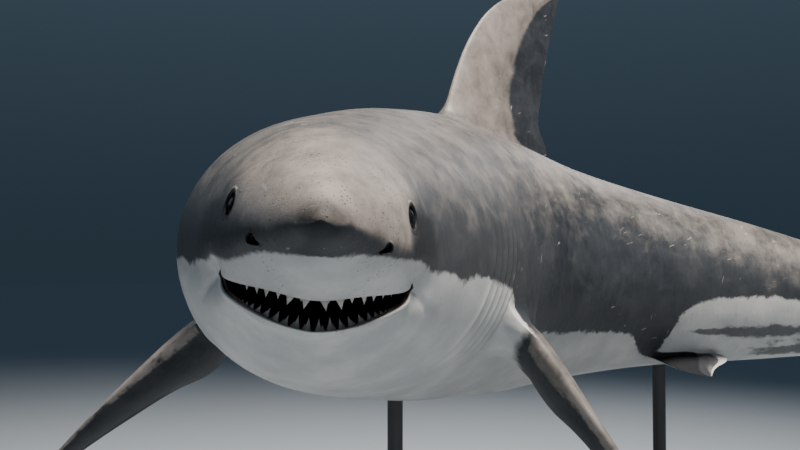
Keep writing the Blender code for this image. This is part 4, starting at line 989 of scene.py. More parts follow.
# ---- meshes --------------------------------------------------------------------
def mesh_object(name, V, F, smooth_shade=True):
    """Object from vertices and faces (arrays or lists), moved to the row frame."""
    me = bpy.data.meshes.new(name)
    V = np.asarray(V, float) + ORIGIN
    polys = [np.asarray(f, np.int32).reshape(-1, np.asarray(f).shape[-1]) if isinstance(f, np.ndarray)
             else None for f in F] if isinstance(F, tuple) else None
    if polys is None:
        quads = [f for f in F if len(f) == 4]
        tris = [f for f in F if len(f) == 3]
        rest = [f for f in F if len(f) > 4]
        flat = [np.array(quads, np.int32).reshape(-1), np.array(tris, np.int32).reshape(-1)] + \
            [np.array(f, np.int32) for f in rest]
        sizes = [4] * len(quads) + [3] * len(tris) + [len(f) for f in rest]
    else:
        flat = [p.reshape(-1) for p in polys]
        sizes = sum(([p.shape[1]] * len(p) for p in polys), [])
    idx = np.concatenate(flat).astype(np.int32)
    sizes = np.array(sizes, np.int32)
    me.vertices.add(len(V))
    me.vertices.foreach_set("co", V.astype(np.float32).reshape(-1))
    me.loops.add(len(idx))
    me.loops.foreach_set("vertex_index", idx)
    me.polygons.add(len(sizes))
    me.polygons.foreach_set("loop_start", np.r_[0, np.cumsum(sizes)[:-1]].astype(np.int32))
    me.polygons.foreach_set("loop_total", sizes)
    me.update(calc_edges=True)
    me.validate()
    ob = bpy.data.objects.new(name, me)
    bpy.context.scene.collection.objects.link(ob)
    if smooth_shade:
        me.shade_smooth()
    return ob


def orient(ob):
    bm = bmesh.new()
    bm.from_mesh(ob.data)
    bmesh.ops.recalc_face_normals(bm, faces=bm.faces)
    bm.to_mesh(ob.data)
    bm.free()


def attribute(ob, name, values):
    at = ob.data.attributes.new(name, 'FLOAT', 'POINT')
    at.data.foreach_set("value", np.asarray(values, np.float32))


skin = mesh_object("shark_skin", SKIN_V, [tuple(f) for f in PLAIN.tolist()] + FACE)
orient(skin)
FLESH = ("head", "lower_jaw", "gill_region", "trunk_front", "trunk_rear", "tail_stalk", "caudal_fin_upper",
         "caudal_fin_lower") + tuple(FINS)
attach(skin, "root")
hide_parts(*FLESH)

# ---- eyes ---------------------------------------------------------------------------
EYES = []
for _side, _tag in ((1, "left"), (-1, "right")):
    _p, _n, _, _ = eye_frame(_side)
    bm = bmesh.new()
    bmesh.ops.create_uvsphere(bm, u_segments=96, v_segments=64, radius=EYE_R - .0001)
    me = bpy.data.meshes.new("eye_ball_" + _tag)
    bm.to_mesh(me)
    bm.free()
    rot = Vector(_n).to_track_quat('Z', 'Y').to_matrix().to_4x4()
    me.transform(Matrix.Translation(Vector(_p - _n * (EYE_R - EYE_PROUD) + ORIGIN)) @ rot)
    me.shade_smooth()
    ob = bpy.data.objects.new("eye_ball_" + _tag, me)
    bpy.context.scene.collection.objects.link(ob)
    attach(ob, "root")
    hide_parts("eye_" + _tag)
    EYES.append((ob, _p + ORIGIN, _n))

# ---- teeth: serrated triangles in a row on each gum, the next row just behind ----------
UP_TEETH = ((28, 33), (29, 34), (24, 26), (27, 30), (26, 28), (24, 25), (21, 21), (18, 17), (14, 13), (11, 9),
            (8, 6), (6, 4))
LOW_TEETH = ((20, 29), (21, 30), (18, 25), (20, 25), (19, 23), (17, 20), (15, 16), (13, 13), (11, 10), (9, 7),
             (7, 5))


def jaw_line(E, I, U, inward, rise):
    """Curve along a gum: points, along, inward and up, by distance from the middle."""
    g = np.clip((1 - np.abs(_x)) / .16, 0, 1) ** .8
    P = E + (I * inward + U * rise) / 1000 * g[:, None]
    A = np.gradient(P, axis=0)
    A /= np.linalg.norm(A, axis=1)[:, None]
    I2 = I - A * (I * A).sum(1)[:, None]
    I2 /= np.linalg.norm(I2, axis=1)[:, None]
    U2 = np.cross(A, I2)
    U2 *= np.sign((U2 * U).sum(1))[:, None]
    d = np.r_[0, np.cumsum(np.linalg.norm(np.diff(P, axis=0), axis=1))]
    d -= d[len(d) // 2]
    at = lambda M, t: np.array([np.interp(t, d, M[:, k]) for k in range(3)])
    return (lambda t: (at(P, t), at(A, t), at(I2, t), at(U2, t))), d[0], d[-1]


def tooth(w, h, narrow, lean, rng):
    """One blade: width along x, tip along +z, lips' side along -y. Metres."""
    n, m = 15, 13
    z = np.linspace(-.22, 1, m)
    V, F = [], []
    for i, t in enumerate(z):
        tt = max(t, 0.0)
        half = (1 - tt) ** (1.0 if not narrow else 1.18) * (1.0 - .10 * math.sin(math.pi * min(tt, 1)) * narrow)
        half = max(half, .035) * (1.0 + .10 * max(-t, 0) * 4)
        if t < 0:
            half *= 1.06
        for k in range(n):
            x = -1 + 2 * k / (n - 1)
            edge = 1 - abs(x)
            saw = .022 * math.sin(tt * h * 1000 * 4.4) * (edge < .01) * (0 < t < .97)
            X = x * (half + saw) * w / 2 + lean * w * max(tt, 0) ** 1.3
            front = -(.13 + .02 * (1 - tt)) * w * (1 - abs(x) ** 2.0) * (1 - .80 * tt) * .55
            back = (.17 + .05 * (1 - tt)) * w * (1 - abs(x) ** 1.8) * (1 - .80 * tt) * .80
            V.append((X, front, t * h, back))
    P = []
    for X, f, Z, b in V:
        P.append((X, f, Z))
    for X, f, Z, b in V:
        P.append((X, b, Z))
    N = n * m
    for i in range(m - 1):
        for k in range(n - 1):
            a = i * n + k
            F.append((a, a + 1, a + n + 1, a + n))
            F.append((N + a, N + a + n, N + a + n + 1, N + a + 1))
        for k, s in ((0, 1), (n - 1, -1)):
            a = i * n + k
            q = (a, a + n, N + a + n, N + a)
            F.append(q if s > 0 else q[::-1])
    for i, s in ((0, 1), (m - 1, -1)):
        for k in range(n - 1):
            a = i * n + k
            q = (a, N + a, N + a + 1, a + 1)
            F.append(q if s > 0 else q[::-1])
    tipness = np.tile(np.repeat(np.clip(z, -.22, 1), n), 2)
    return np.array(P), F, tipness


def tooth_row(name, upper):
    rng = np.random.default_rng(11 if upper else 12)
    E, I, U = (E_U, I_U, U_U) if upper else (E_L, I_L, U_L)
    V, F, T, W = [], [], [], []
    rows = ((17.8, 11.5, 17.0), (24.5, 13.0, 36.0)) if upper else ((18.0, -3.2, 8.0), (23.5, -4.4, 32.0))
    for r, (inward, rise, tilt) in enumerate(rows):
        line, lo, hi = jaw_line(E, I, U, inward, rise)
        for side in (1, -1):
            t = .0008 if r == 0 else .008
            end = min(hi, -lo)
            for k, (w, h) in enumerate(UP_TEETH if upper else LOW_TEETH):
                w, h = w / 1000, h / 1000
                c = t + w / 2
                t += w * ((1.02 if upper else 1.10) + .05 * rng.random())
                if c + w / 2 > end * .985:
                    break
                w *= 1 + .03 * (rng.random() - .5)
                h *= (1 + .06 * (rng.random() - .5)) * (1 if r == 0 else .72)
                P0, A, Iw, Up = line(side * c)
                tip = -Up if upper else Up
                th = math.radians(tilt + rng.uniform(-4, 4))
                z = tip * math.cos(th) + Iw * math.sin(th)
                y = Iw * math.cos(th) - tip * math.sin(th)
                rock = math.radians(rng.uniform(-4, 4))
                x = A * math.cos(rock) + z * math.sin(rock)
                z = z * math.cos(rock) - A * math.sin(rock)
                lean = (-side if not upper else side * -1) * (-.10 if upper else -.03) * (0 if k == 2 and upper else 1)
                P, Fs, tp = tooth(w * .97, h, 0 if upper else 1, lean, rng)
                X = P0 + P[:, :1] * x + P[:, 1:2] * y + P[:, 2:] * z
                b = sum(len(v) for v in V)
                V.append(X)
                F.extend(tuple(i + b for i in f) for f in Fs)
                T.append(tp)
                W.append(np.full(len(tp), rng.random()))
    ob = mesh_object(name, np.concatenate(V), F)
    orient(ob)
    attribute(ob, "tip", np.concatenate(T))
    attribute(ob, "tone", np.concatenate(W))
    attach(ob, "root")
    return ob


TEETH = [tooth_row("teeth_upper", True), tooth_row("teeth_lower", False)]

# ---- colour and finish fields on the skin ---------------------------------------------
# Where slate meets white, as a turn from the belly line, along the body
REAR = ((.137, .226), (.163, .234), (.194, .233), (.231, .230), (.274, .212), (.339, .180), (.375, .175),
        (.406, .174), (.4345, .172), (.460, .168), (.482, .164), (.502, .160), (.520, .150), (.530, .126),
        (.541, .102), (.5485, .090), (.5535, .118), (.562, .180), (.5785, .215), (.5965, .229), (.619, .238),
        (.640, .243), (.700, .235), (.760, .200), (.840, .160), (.905, .160))
EDGE_L = ((0, 0), (.0179, .004), (.0194, .067), (.0239, .124), (.0329, .166), (.0421, .186), (.0518, .196),
          (.0664, .217), (.087, .228), (.109, .226)) + REAR
EDGE_R = ((0, 0), (.0179, .004), (.0200, .062), (.0255, .113), (.0331, .149), (.0472, .169), (.0586, .177),
          (.0681, .188), (.0807, .207), (.0917, .217), (.110, .217)) + REAR
edge_l, edge_r = pchip(*zip(*EDGE_L)), pchip(*zip(*EDGE_R))
_s, _q = SKIN_I[:, 0], SKIN_I[:, 1]
_kind = SKIN_I[:, 2].astype(int)
_span, _chord, _side, _mix, _deep = SKIN_I[:, 3], SKIN_I[:, 4], SKIN_I[:, 5], SKIN_I[:, 6], SKIN_I[:, 7]
# each point's place on the straightened fish, metres: back, left and up
_P, _F, _L, _U = at_spine(_s)
_off = SKIN_V - _P
_bx, _by, _bz = _s * TL - (_off * _F).sum(1), (_off * _L).sum(1), (_off * _U).sum(1)
_left = smooth(_by, -.02, .02)


def edge_q(s):
    return edge_l(s) * _left + edge_r(s) * (1 - _left)



def back_field(s, q):
    """Distance over the skin from the colour edge, metres, slate side positive."""
    w = np.maximum((f_hw(np.sqrt(np.clip(s, 0, None))) + .5 * (f_top(np.sqrt(np.clip(s, 0, None)))
                    - f_bot(np.sqrt(np.clip(s, 0, None))))) / 2, .004)
    e = edge_q(s)
    g = (edge_q(s + .002) - edge_q(s - .002)) / .004
    return (q - e) / np.sqrt((1 / (2 * np.pi * w * TL)) ** 2 + (g / TL) ** 2)


_f = back_field(_s, _q)
_f = np.where(_s < .0185, np.maximum(_f, (.0195 - _s) * TL * .8), _f)
_fin = np.isin(_kind, (PECT, DORSAL, SMALL, PELVIC, TAIL))
_tip = smooth(_span, .78, .93)
back = _f.copy()
# pectorals: slate above, white below with a dusky rear part and a black tip; the dusk spreads over most of the
# underside as painted shade
_p = _kind == PECT
_out = smooth(_span, -.6, .25)
_edge = np.minimum(_chord, 1 - _chord)
_up = _side * np.clip(_edge / .06, 0, 1)
_rp = _p & (_by < 0)
# the slate runs this far round the front edge; it runs farther on the left fin, painted as a lit band along that edge
_lead = np.where(_rp, .050 - .032 * np.clip(_span, 0, 1), .10 - .04 * np.clip(_span, 0, 1))
_pf = np.where(_up >= 0, .060 * np.clip(_edge / .05, 0, 1) + .008, (_lead - _chord) * .22)
back = np.where(_p, _f * (1 - _out) + _pf * _out, back)
back = np.where(np.isin(_kind, (DORSAL, SMALL)), np.where(_q > .25, .08, _f), back)
back = np.where(_kind == TAIL, .08, back)
_v = _kind == PELVIC
_vo = smooth(_span, -.8, .1)
back = np.where(_v, _f * (1 - _vo) + np.where(_side > 0, np.minimum(.05, (.84 - _chord) * .30), -.045) * _vo, back)
# painted shade: dusk over most of the pectorals' undersides, besides their own dusky part
dusk_and_painted_shade = np.where(_p & (_side <= 0), smooth(_span, -.55, .10), 0.0)
black = np.where(_p & (_side <= 0), np.maximum(smooth(_span, .62, .88), smooth(_chord, .60, .86) * smooth(_span, .10, .5) * .8), 0)
black = np.where(_p & (_side > 0), smooth(_span, .86, .99) * .7, black)
# pelvic fins: black tip and rear edge below; above, painted shade by the front of the root
black = np.where(_v, np.where(_side <= 0, np.maximum(smooth(_span, .55, .95) * .5, smooth(_chord, .7, .95) * .6),
                              1.0 * smooth(_span, -.9, -.2) * (1 - smooth(_chord + .50 * np.clip(_span, 0, 1), .55, .85))), black)
# painted shade deep in the gill slits, the eye openings and the nostrils
black = np.maximum(black, smooth(_deep, .25, .9) * (_kind == BODY))
mouth_m = np.where(_kind == MOUTH, _mix, 0.0)
# painted shade, deeper into the mouth
painted_throat_shade = np.where(_kind == MOUTH, _deep, 0.0)
# painted shade: near black in the eye sockets, the nostrils and deep in the gill slits
hole = np.where(np.isin(_kind, (SOCKET, NOSTRIL)), 1.0, smooth(_deep, .3, .95) * (_kind == BODY))
# painted shade round the inner edge of the eye lids and of the nostrils
rim = np.where(_kind == BODY, _mix, 0.0)
snout = (1 - smooth(_s, .058, .100)) * (_kind == BODY) * (1 - smooth(_deep, 0, .2))
flank = smooth(_s, .11, .17) * (1 - smooth(_s, .56, .74)) * (_kind == BODY)
# dark streaks low on the tail stalk, behind the pelvic fins
_grow = .3 + .7 * smooth(_s, .57, .66)
streak = smooth(_s, .560, .600) * (1 - smooth(_s, .70, .82)) * bell(_q - .158 - .10 * np.clip(_s - .63, 0, 1), .021 * _grow)
streak = np.maximum(streak, smooth(_s, .600, .680) * (1 - smooth(_s, .72, .82)) * bell(_q - .098 + .2 * (_s - .64), .034))
streak = np.maximum(streak, .45 * smooth(_s, .600, .680) * (1 - smooth(_s, .70, .80)) * bell(_q - .130, .035))
streak = streak * (_kind == BODY)
# how far a place is up the body, for painted light: the slate is painted paler and warmer where the light falls on the
# back, darker and cooler down the shaded flank
painted_light_lift = _q.copy()
# on the pectorals, painted light over the upper side and a lit band along the underside's front edge, narrower on the
# right fin
painted_light_lift = np.where(_p, _q * (1 - _out) + np.where(_side > 0, .44, .44 - .34 * np.where(_rp, smooth(_chord, .028, .062), smooth(_chord, .075, .135))) * _out, painted_light_lift)
# painted light: the lit slate comes down over the snout to a line just under its tip, with painted shade below it
_snq = np.where(_by > 0, np.interp(_s, (0, .009, .020, .050), (.165, .240, .224, .218)),
                np.interp(_s, (0, .011, .028, .038, .053), (.165, .231, .233, .250, .275)))
_snw = (1 - smooth(_s, .045, .080)) * (_kind == BODY)
painted_light_lift = painted_light_lift * (1 - _snw) + np.minimum(.50, .335 + (_q - _snq) * 2.4) * _snw
# painted highlight over the brow and forehead, where the light falls on the head
painted_highlight = (1 - smooth(_s, .045, .120)) * smooth(painted_light_lift, .30, .42) * (_kind == BODY) * smooth(_s, .001, .012)
# painted highlights: the right pectoral's front edge and the front of the first dorsal are painted as pale
painted_highlight = np.where(_rp, 1.5 * (1 - smooth(_chord, np.where(_side > 0, .06, .022), np.where(_side > 0, .20, .060))) * _out, painted_highlight)
# painted shade over the top of the head, behind the lit brow
painted_crown_shade = smooth(_s, .035, .110) * (1 - smooth(_s, .27, .40)) * (_kind == BODY)
_rear = .60 - .20 * np.clip(_span, 0, 1)
# painted light on the pelvic fins' upper side: shaded slate in front, a little lighter toward the rear
painted_light_lift = np.where(_v & (_side > 0), .15 + .20 * smooth(_chord, .45, .75), painted_light_lift)
# painted highlight on the front of the first dorsal
painted_highlight = np.where(_kind == DORSAL, .85 * (1 - smooth(_chord, _rear - .26, _rear - .02)) * smooth(_span, -.6, .2), painted_highlight)
# painted shade over the rear part of the first dorsal
painted_light_lift = np.where(_kind == DORSAL, painted_light_lift - .30 * smooth(_chord, _rear - .07, _rear + .13) * smooth(_span, -.5, .1), painted_light_lift)
# a little painted shade along the middle of the body
painted_light_lift = np.where(_kind == BODY, painted_light_lift - .028 * smooth(_s, .40, .45) * (1 - smooth(_s, .56, .62)), painted_light_lift)
ragged = .22 + .78 * smooth(_s, .045, .13)
# painted shade behind and below each eye, and a darker snout tip
painted_eye_shade_dark_tip = smooth(_s, .056, .064) * (1 - smooth(_s, .094, .112)) * smooth(_q, .232, .250) * (1 - smooth(_q, .292, .312)) * (_kind == BODY)
painted_eye_shade_dark_tip = np.maximum(painted_eye_shade_dark_tip, .45 * (1 - smooth(_s, .0015, .0120)) * (_kind == BODY))
for _n_, _a_ in (("bx", _bx), ("by", _by), ("bz", _bz), ("dusk_and_painted_shade", dusk_and_painted_shade), ("ragged", ragged), ("painted_eye_shade_dark_tip", painted_eye_shade_dark_tip),
                 ("back", back), ("black", black), ("mouth", mouth_m), ("painted_throat_shade", painted_throat_shade), ("hole", hole),
                 ("rim", rim), ("snout", snout), ("flank", flank), ("streak", streak),
                 ("painted_light_lift", painted_light_lift), ("painted_highlight", painted_highlight), ("painted_crown_shade", painted_crown_shade),
                 ("fin", _fin * smooth(_span, -.6, .2)), ("along", _s), ("turn", _q), ("span", _span),
                 ("chord", _chord)):
    attribute(skin, _n_, _a_)


# ---- materials -----------------------------------------------------------------------
class Net:
    """Short hand for building a node tree."""
    def __init__(self, name):
        self.m = bpy.data.materials.new(name)
        self.m.use_nodes = True
        self.t = self.m.node_tree
        self.bsdf = self.t.nodes["Principled BSDF"]

    def node(self, kind, **kw):
        n = self.t.nodes.new(kind)
        for k, v in kw.items():
            setattr(n, k, v)
        return n

    def put(self, sock, v):
        if isinstance(v, bpy.types.NodeSocket):
            self.t.links.new(v, sock)
        else:
            sock.default_value = v

    def attr(self, name):
        return self.node("ShaderNodeAttribute", attribute_name=name).outputs["Fac"]

    def math(self, op, a, b=0.0, clamp=False):
        n = self.node("ShaderNodeMath", operation=op, use_clamp=clamp)
        self.put(n.inputs[0], a)
        self.put(n.inputs[1], b)
        return n.outputs[0]

    def ramp(self, v, lo, hi, a=0.0, b=1.0, kind='SMOOTHSTEP'):
        n = self.node("ShaderNodeMapRange", interpolation_type=kind, clamp=True)
        for s_, x in zip(n.inputs[:5], (v, lo, hi, a, b)):
            self.put(s_, x)
        return n.outputs[0]

    def mix(self, f, a, b, kind='MIX'):
        n = self.node("ShaderNodeMix", data_type='RGBA', blend_type=kind, clamp_factor=True)
        self.put(n.inputs[0], f)
        self.put(n.inputs[6], a if isinstance(a, bpy.types.NodeSocket) else (*a, 1))
        self.put(n.inputs[7], b if isinstance(b, bpy.types.NodeSocket) else (*b, 1))
        return n.outputs[2]

    def place(self, scale=(1, 1, 1), shift=(0, 0, 0)):
        c = self.node("ShaderNodeTexCoord").outputs["Object"]
        n = self.node("ShaderNodeMapping")
        self.put(n.inputs["Vector"], c)
        n.inputs["Scale"].default_value = scale
        n.inputs["Location"].default_value = shift
        return n.outputs[0]

    def body_place(self, k_along, k_round, turn=0.0, shift=0.0):
        """Texture place on the straightened fish, metres: along the body, across and up."""
        n = self.node("ShaderNodeCombineXYZ")
        for i, a in enumerate(("bx", "by", "bz")):
            self.put(n.inputs[i], self.attr(a))
        m = self.node("ShaderNodeMapping")
        self.put(m.inputs["Vector"], n.outputs[0])
        m.inputs["Rotation"].default_value = (turn, turn * .8, turn)
        m.inputs["Location"].default_value = (shift, shift * .6, -shift)
        m2 = self.node("ShaderNodeMapping")
        self.put(m2.inputs["Vector"], m.outputs[0])
        m2.inputs["Scale"].default_value = (k_along, k_round, k_round)
        return m2.outputs[0]

    def noise(self, at, scale, detail=4.0, rough=.55, warp=0.0, out="Fac"):
        n = self.node("ShaderNodeTexNoise")
        self.put(n.inputs["Vector"], at)
        n.inputs["Scale"].default_value = scale
        n.inputs["Detail"].default_value = detail
        n.inputs["Roughness"].default_value = rough
        n.inputs["Distortion"].default_value = warp
        return n.outputs[out]

    def cells(self, at, scale, feature='F1', rand=1.0, out="Distance"):
        n = self.node("ShaderNodeTexVoronoi", feature=feature)
        self.put(n.inputs["Vector"], at)
        n.inputs["Scale"].default_value = scale
        n.inputs["Randomness"].default_value = rand
        return n.outputs[out]

    def bump(self, height, dist, strength=1.0, normal=None):
        n = self.node("ShaderNodeBump")
        n.inputs["Distance"].default_value = dist
        n.inputs["Strength"].default_value = strength
        self.put(n.inputs["Height"], height)
        if normal is not None:
            self.put(n.inputs["Normal"], normal)
        return n.outputs[0]

    def finish(self, colour, rough, normal=None):
        self.put(self.bsdf.inputs["Base Color"], colour)
        self.put(self.bsdf.inputs["Roughness"], rough)
        if normal is not None:
            self.put(self.bsdf.inputs["Normal"], normal)
        return self.m


def skin_material():
    N = Net("shark_skin")
    at = N.place()
    body = N.body_place(1.0, 1.0)
    # where slate meets white: a crisp edge with lobes and small teeth, calmer on the snout
    lobes = N.math('SUBTRACT', N.noise(body, 5.5, 2.0, .5), .5)
    teeth = N.math('SUBTRACT', N.noise(N.body_place(1.0, .8), 27.0, 5.0, .62), .5)
    fine = N.math('SUBTRACT', N.noise(at, 95.0, 3.0, .6), .5)
    wild = N.math('ADD', N.math('MULTIPLY', lobes, .034), N.math('MULTIPLY', teeth, .046))
    wild = N.math('MULTIPLY', wild, N.attr("ragged"))
    d = N.math('ADD', N.math('ADD', N.attr("back"), wild), N.math('MULTIPLY', fine, .014))
    grey = N.ramp(d, -.006, .007)
    # slate with drawn-out mottling, and painted light: a lit warm brown grey over the back, a shaded cooler grey down
    # the flank
    m1 = N.noise(N.body_place(1.0, 2.0), 3.4, 5.0, .58, .5)
    m2 = N.noise(at, 15.0, 6.0, .64, .3)
    m3 = N.noise(at, 74.0, 4.0, .6)
    m4 = N.noise(N.body_place(2.6, .9, .12, 3.0), 9.0, 5.0, .62, .4)
    shaded_slate = N.mix(N.ramp(m1, .34, .68), (.014, .018, .024), (.030, .035, .042))
    lit_slate = N.mix(N.ramp(m1, .34, .68), (.086, .079, .075), (.170, .156, .145))
    # painted light: how lit the slate is, from how far up the body it lies
    up = N.math('ADD', N.attr("painted_light_lift"), N.math('MULTIPLY', N.math('SUBTRACT', m2, .5), .16))
    painted_light_mix = N.ramp(up, .27, .40)
    slate = N.mix(painted_light_mix, shaded_slate, lit_slate)
    # the pale mottling too has a lit and a shaded copy
    mottle_lit_shaded = N.mix(painted_light_mix, (.047, .051, .057), (.240, .220, .204))
    slate = N.mix(N.math('MULTIPLY', N.ramp(m2, .42, .74), .50), slate, mottle_lit_shaded)
    slate = N.mix(N.math('MULTIPLY', N.ramp(m4, .50, .74), .42), slate, mottle_lit_shaded)
    slate = N.mix(N.math('MULTIPLY', N.ramp(m2, .46, .27), .60), slate, (.019, .021, .025))
    slate = N.mix(N.math('MULTIPLY', N.ramp(m4, .47, .28), .45), slate, (.022, .024, .029))
    slate = N.mix(N.math('MULTIPLY', N.ramp(m3, .55, .75), .30), slate, mottle_lit_shaded)
    # painted shade on the top of the head
    slate = N.mix(N.math('MULTIPLY', N.attr("painted_crown_shade"), .40), slate, (.062, .066, .072))
    # painted highlight on the brow, the right pectoral's front edge and the first dorsal's front
    slate = N.mix(N.math('MULTIPLY', N.attr("painted_highlight"), .50), slate, N.mix(N.ramp(m2, .3, .7), (.220, .195, .180), (.330, .292, .270)))
    # painted shade behind and below the eyes, and the darker snout tip
    slate = N.mix(N.math('MULTIPLY', N.attr("painted_eye_shade_dark_tip"), .75), slate, (.014, .015, .018))
    # pale scuffs: thin scratches, few and broken up
    for (k_a, k_r, turn, shift, lo) in ((.5, 4.5, .35, 1.3, .70), (4.0, .6, -.30, 4.1, .715)):
        line = N.ramp(N.noise(N.body_place(k_a, k_r, turn, shift), 20.0, 2.0, .5, .2), lo, lo + .025)
        part = N.ramp(N.noise(at, 4.0, 2.0), .48, .60)
        slate = N.mix(N.math('MULTIPLY', N.math('MULTIPLY', line, part), .55), slate, (.36, .34, .325))
    # white: warm off-white with faint grey clouds and small freckles by the edge
    w1 = N.noise(at, 7.0, 5.0, .6)
    white = N.mix(N.ramp(w1, .34, .70), (.40, .415, .425), (.54, .545, .535))
    white = N.mix(N.math('MULTIPLY', N.ramp(N.noise(at, 30.0, 4.0), .56, .78), .40), white, (.40, .405, .405))
    near = N.ramp(N.attr("back"), -.085, -.008)
    freck = N.ramp(N.cells(N.place((1, 1, 1), (.3, .2, .1)), 62.0), .16, .10)
    freck = N.math('MULTIPLY', freck, N.ramp(N.noise(at, 22.0, 2.0), .50, .60))
    white = N.mix(N.math('MULTIPLY', N.math('MULTIPLY', freck, near), .8), white, (.12, .12, .125))
    white = N.mix(N.math('MULTIPLY', N.ramp(N.attr("back"), -.060, -.006), .22), white, (.22, .23, .24))
    # the pectorals' undersides are dusky, mottled paler: a real dusky part, with painted shade spread over most of the
    # underside
    dusk_shade_colour = N.mix(N.ramp(m2, .34, .66), (.015, .018, .023), (.038, .042, .048))
    dusk_shade_mask = N.ramp(N.math('ADD', N.attr("dusk_and_painted_shade"), N.math('MULTIPLY', teeth, .8)), .20, .75)
    white = N.mix(N.math('MULTIPLY', dusk_shade_mask, .96), white, dusk_shade_colour)
    col = N.mix(grey, white, slate)
    # dusky streak low on the tail stalk
    st = N.math('ADD', N.attr("streak"), N.math('MULTIPLY', teeth, 1.1))
    st = N.math('ADD', st, N.math('MULTIPLY', N.math('SUBTRACT', N.noise(N.body_place(.45, 1.6, 0.0, 7.0), 14.0, 5.0, .65), .5), 1.5))
    st = N.math('MULTIPLY', N.ramp(st, .34, .72), N.ramp(N.attr("streak"), .04, .22))
    col = N.mix(N.math('MULTIPLY', st, .90), col, N.mix(N.ramp(m2, .35, .65), (.024, .028, .034), (.058, .063, .070)))
    # black tips and rear edges of the fins' undersides; painted shade in the gill slits, eye openings and nostrils,
    # and by the front of the pelvic fins' root
    bl = N.ramp(N.math('ADD', N.attr("black"), N.math('MULTIPLY', teeth, .55)), .38, .62)
    col = N.mix(bl, col, (.014, .015, .018))
    # painted shade on the inner edge of the eye lids and nostrils
    col = N.mix(N.math('MULTIPLY', N.ramp(N.attr("rim"), .05, .8), .96), col, (.007, .007, .009))
    # sensory pores over the snout: dark pin points in clusters
    po = N.cells(at, 118.0, rand=.95)
    clus = N.ramp(N.noise(at, 9.0, 3.0, .6), .46, .60)
    pore = N.math('MULTIPLY', N.math('MULTIPLY', N.ramp(po, .225, .15), clus), N.attr("snout"))
    col = N.mix(N.math('MULTIPLY', pore, .75), col, (.020, .019, .020))
    # mouth: lips pale, gums dull pink grey, with painted shade darkening toward the throat
    g1 = N.noise(at, 38.0, 4.0, .6)
    gum = N.mix(N.ramp(g1, .35, .7), (.190, .108, .100), (.300, .195, .180))
    gum = N.mix(N.ramp(N.attr("painted_throat_shade"), 0.0, .70), gum, (.052, .024, .024))
    col = N.mix(N.attr("mouth"), col, gum)
    # painted shade in the holes
    col = N.mix(N.attr("hole"), col, (.006, .005, .006))
    # finish: fine tooth-like grain, faint creases, damp satin
    g = N.noise(at, 620.0, 2.0, .5)
    wr = N.noise(N.body_place(3.0, 1.0, .1, 2.0), 24.0, 4.0, .6)
    cr = N.cells(at, 210.0, 'DISTANCE_TO_EDGE')
    bm_ = N.bump(g, .0008, .35)
    bm_ = N.bump(N.ramp(cr, 0, .16), .0008, .22, bm_)
    bm_ = N.bump(wr, .0040, .34, bm_)
    bm_ = N.bump(m2, .005, .26, bm_)
    bm_ = N.bump(N.math('MULTIPLY', pore, -1.0), .0022, .7, bm_)
    ro = N.ramp(m2, .3, .75, .40, .56, 'LINEAR')
    ro = N.math('ADD', ro, N.math('MULTIPLY', N.attr("mouth"), -.22))
    ro = N.math('ADD', ro, N.math('MULTIPLY', N.attr("rim"), .35))
    # the black and dusky parts are duller
    dull = N.math('MAXIMUM', bl, N.math('MULTIPLY', N.math('MULTIPLY', dusk_shade_mask, N.math('SUBTRACT', 1.0, grey)), .85))
    dull = N.math('MAXIMUM', dull, N.ramp(N.attr("along"), .0015, .013, .9, .0))
    ro = N.math('ADD', ro, N.math('MULTIPLY', dull, .16))
    N.put(N.bsdf.inputs["Specular IOR Level"],
          N.math('MULTIPLY', N.ramp(dull, 0.0, 1.0, .38, .10, 'LINEAR'),
                 N.math('SUBTRACT', 1.0, N.math('MULTIPLY', grey, N.ramp(painted_light_mix, 0.0, 1.0, .25, .0, 'LINEAR')))))
    N.put(N.bsdf.inputs["Coat Weight"], N.ramp(dull, 0.0, 1.0, .06, .0, 'LINEAR'))
    N.bsdf.inputs["Coat Roughness"].default_value = .25
    return N.finish(col, ro, bm_)


def eye_material():
    """Near black ball: faint blue mottling, clear polish."""
    N = Net("eye_black")
    at = N.place()
    n = N.noise(at, 240.0, 4.0, .6)
    col = N.mix(N.ramp(n, .35, .7), (.004, .0045, .006), (.010, .012, .018))
    N.bsdf.inputs["IOR"].default_value = 1.20
    N.bsdf.inputs["Specular IOR Level"].default_value = .40
    return N.finish(col, N.ramp(n, .3, .7, .07, .12, 'LINEAR'))


def tooth_material():
    N = Net("tooth_enamel")
    at = N.place()
    tip = N.attr("tip")
    v = N.noise(at, 130.0, 4.0, .6)
    # painted shade: enamel painted dim, darkest toward the root, as in the shade of the mouth
    enamel = N.mix(N.ramp(tip, .02, .80), (.215, .200, .176), (.54, .53, .50))
    enamel = N.mix(N.math('MULTIPLY', N.ramp(v, .45, .75), .30), enamel, (.36, .32, .26))
    enamel = N.mix(N.math('MULTIPLY', N.attr("tone"), .18), enamel, (.40, .38, .34))
    root = N.mix(N.ramp(v, .3, .7), (.150, .080, .074), (.230, .140, .128))
    col = N.mix(N.ramp(tip, -.01, .13), root, enamel)
    N.bsdf.inputs["Coat Weight"].default_value = .5
    N.bsdf.inputs["Coat Roughness"].default_value = .12
    st = N.noise(N.place((1, 1, .25)), 420.0, 3.0, .6)
    return N.finish(col, N.ramp(v, .3, .7, .20, .34, 'LINEAR'), N.bump(st, .0004, .3))


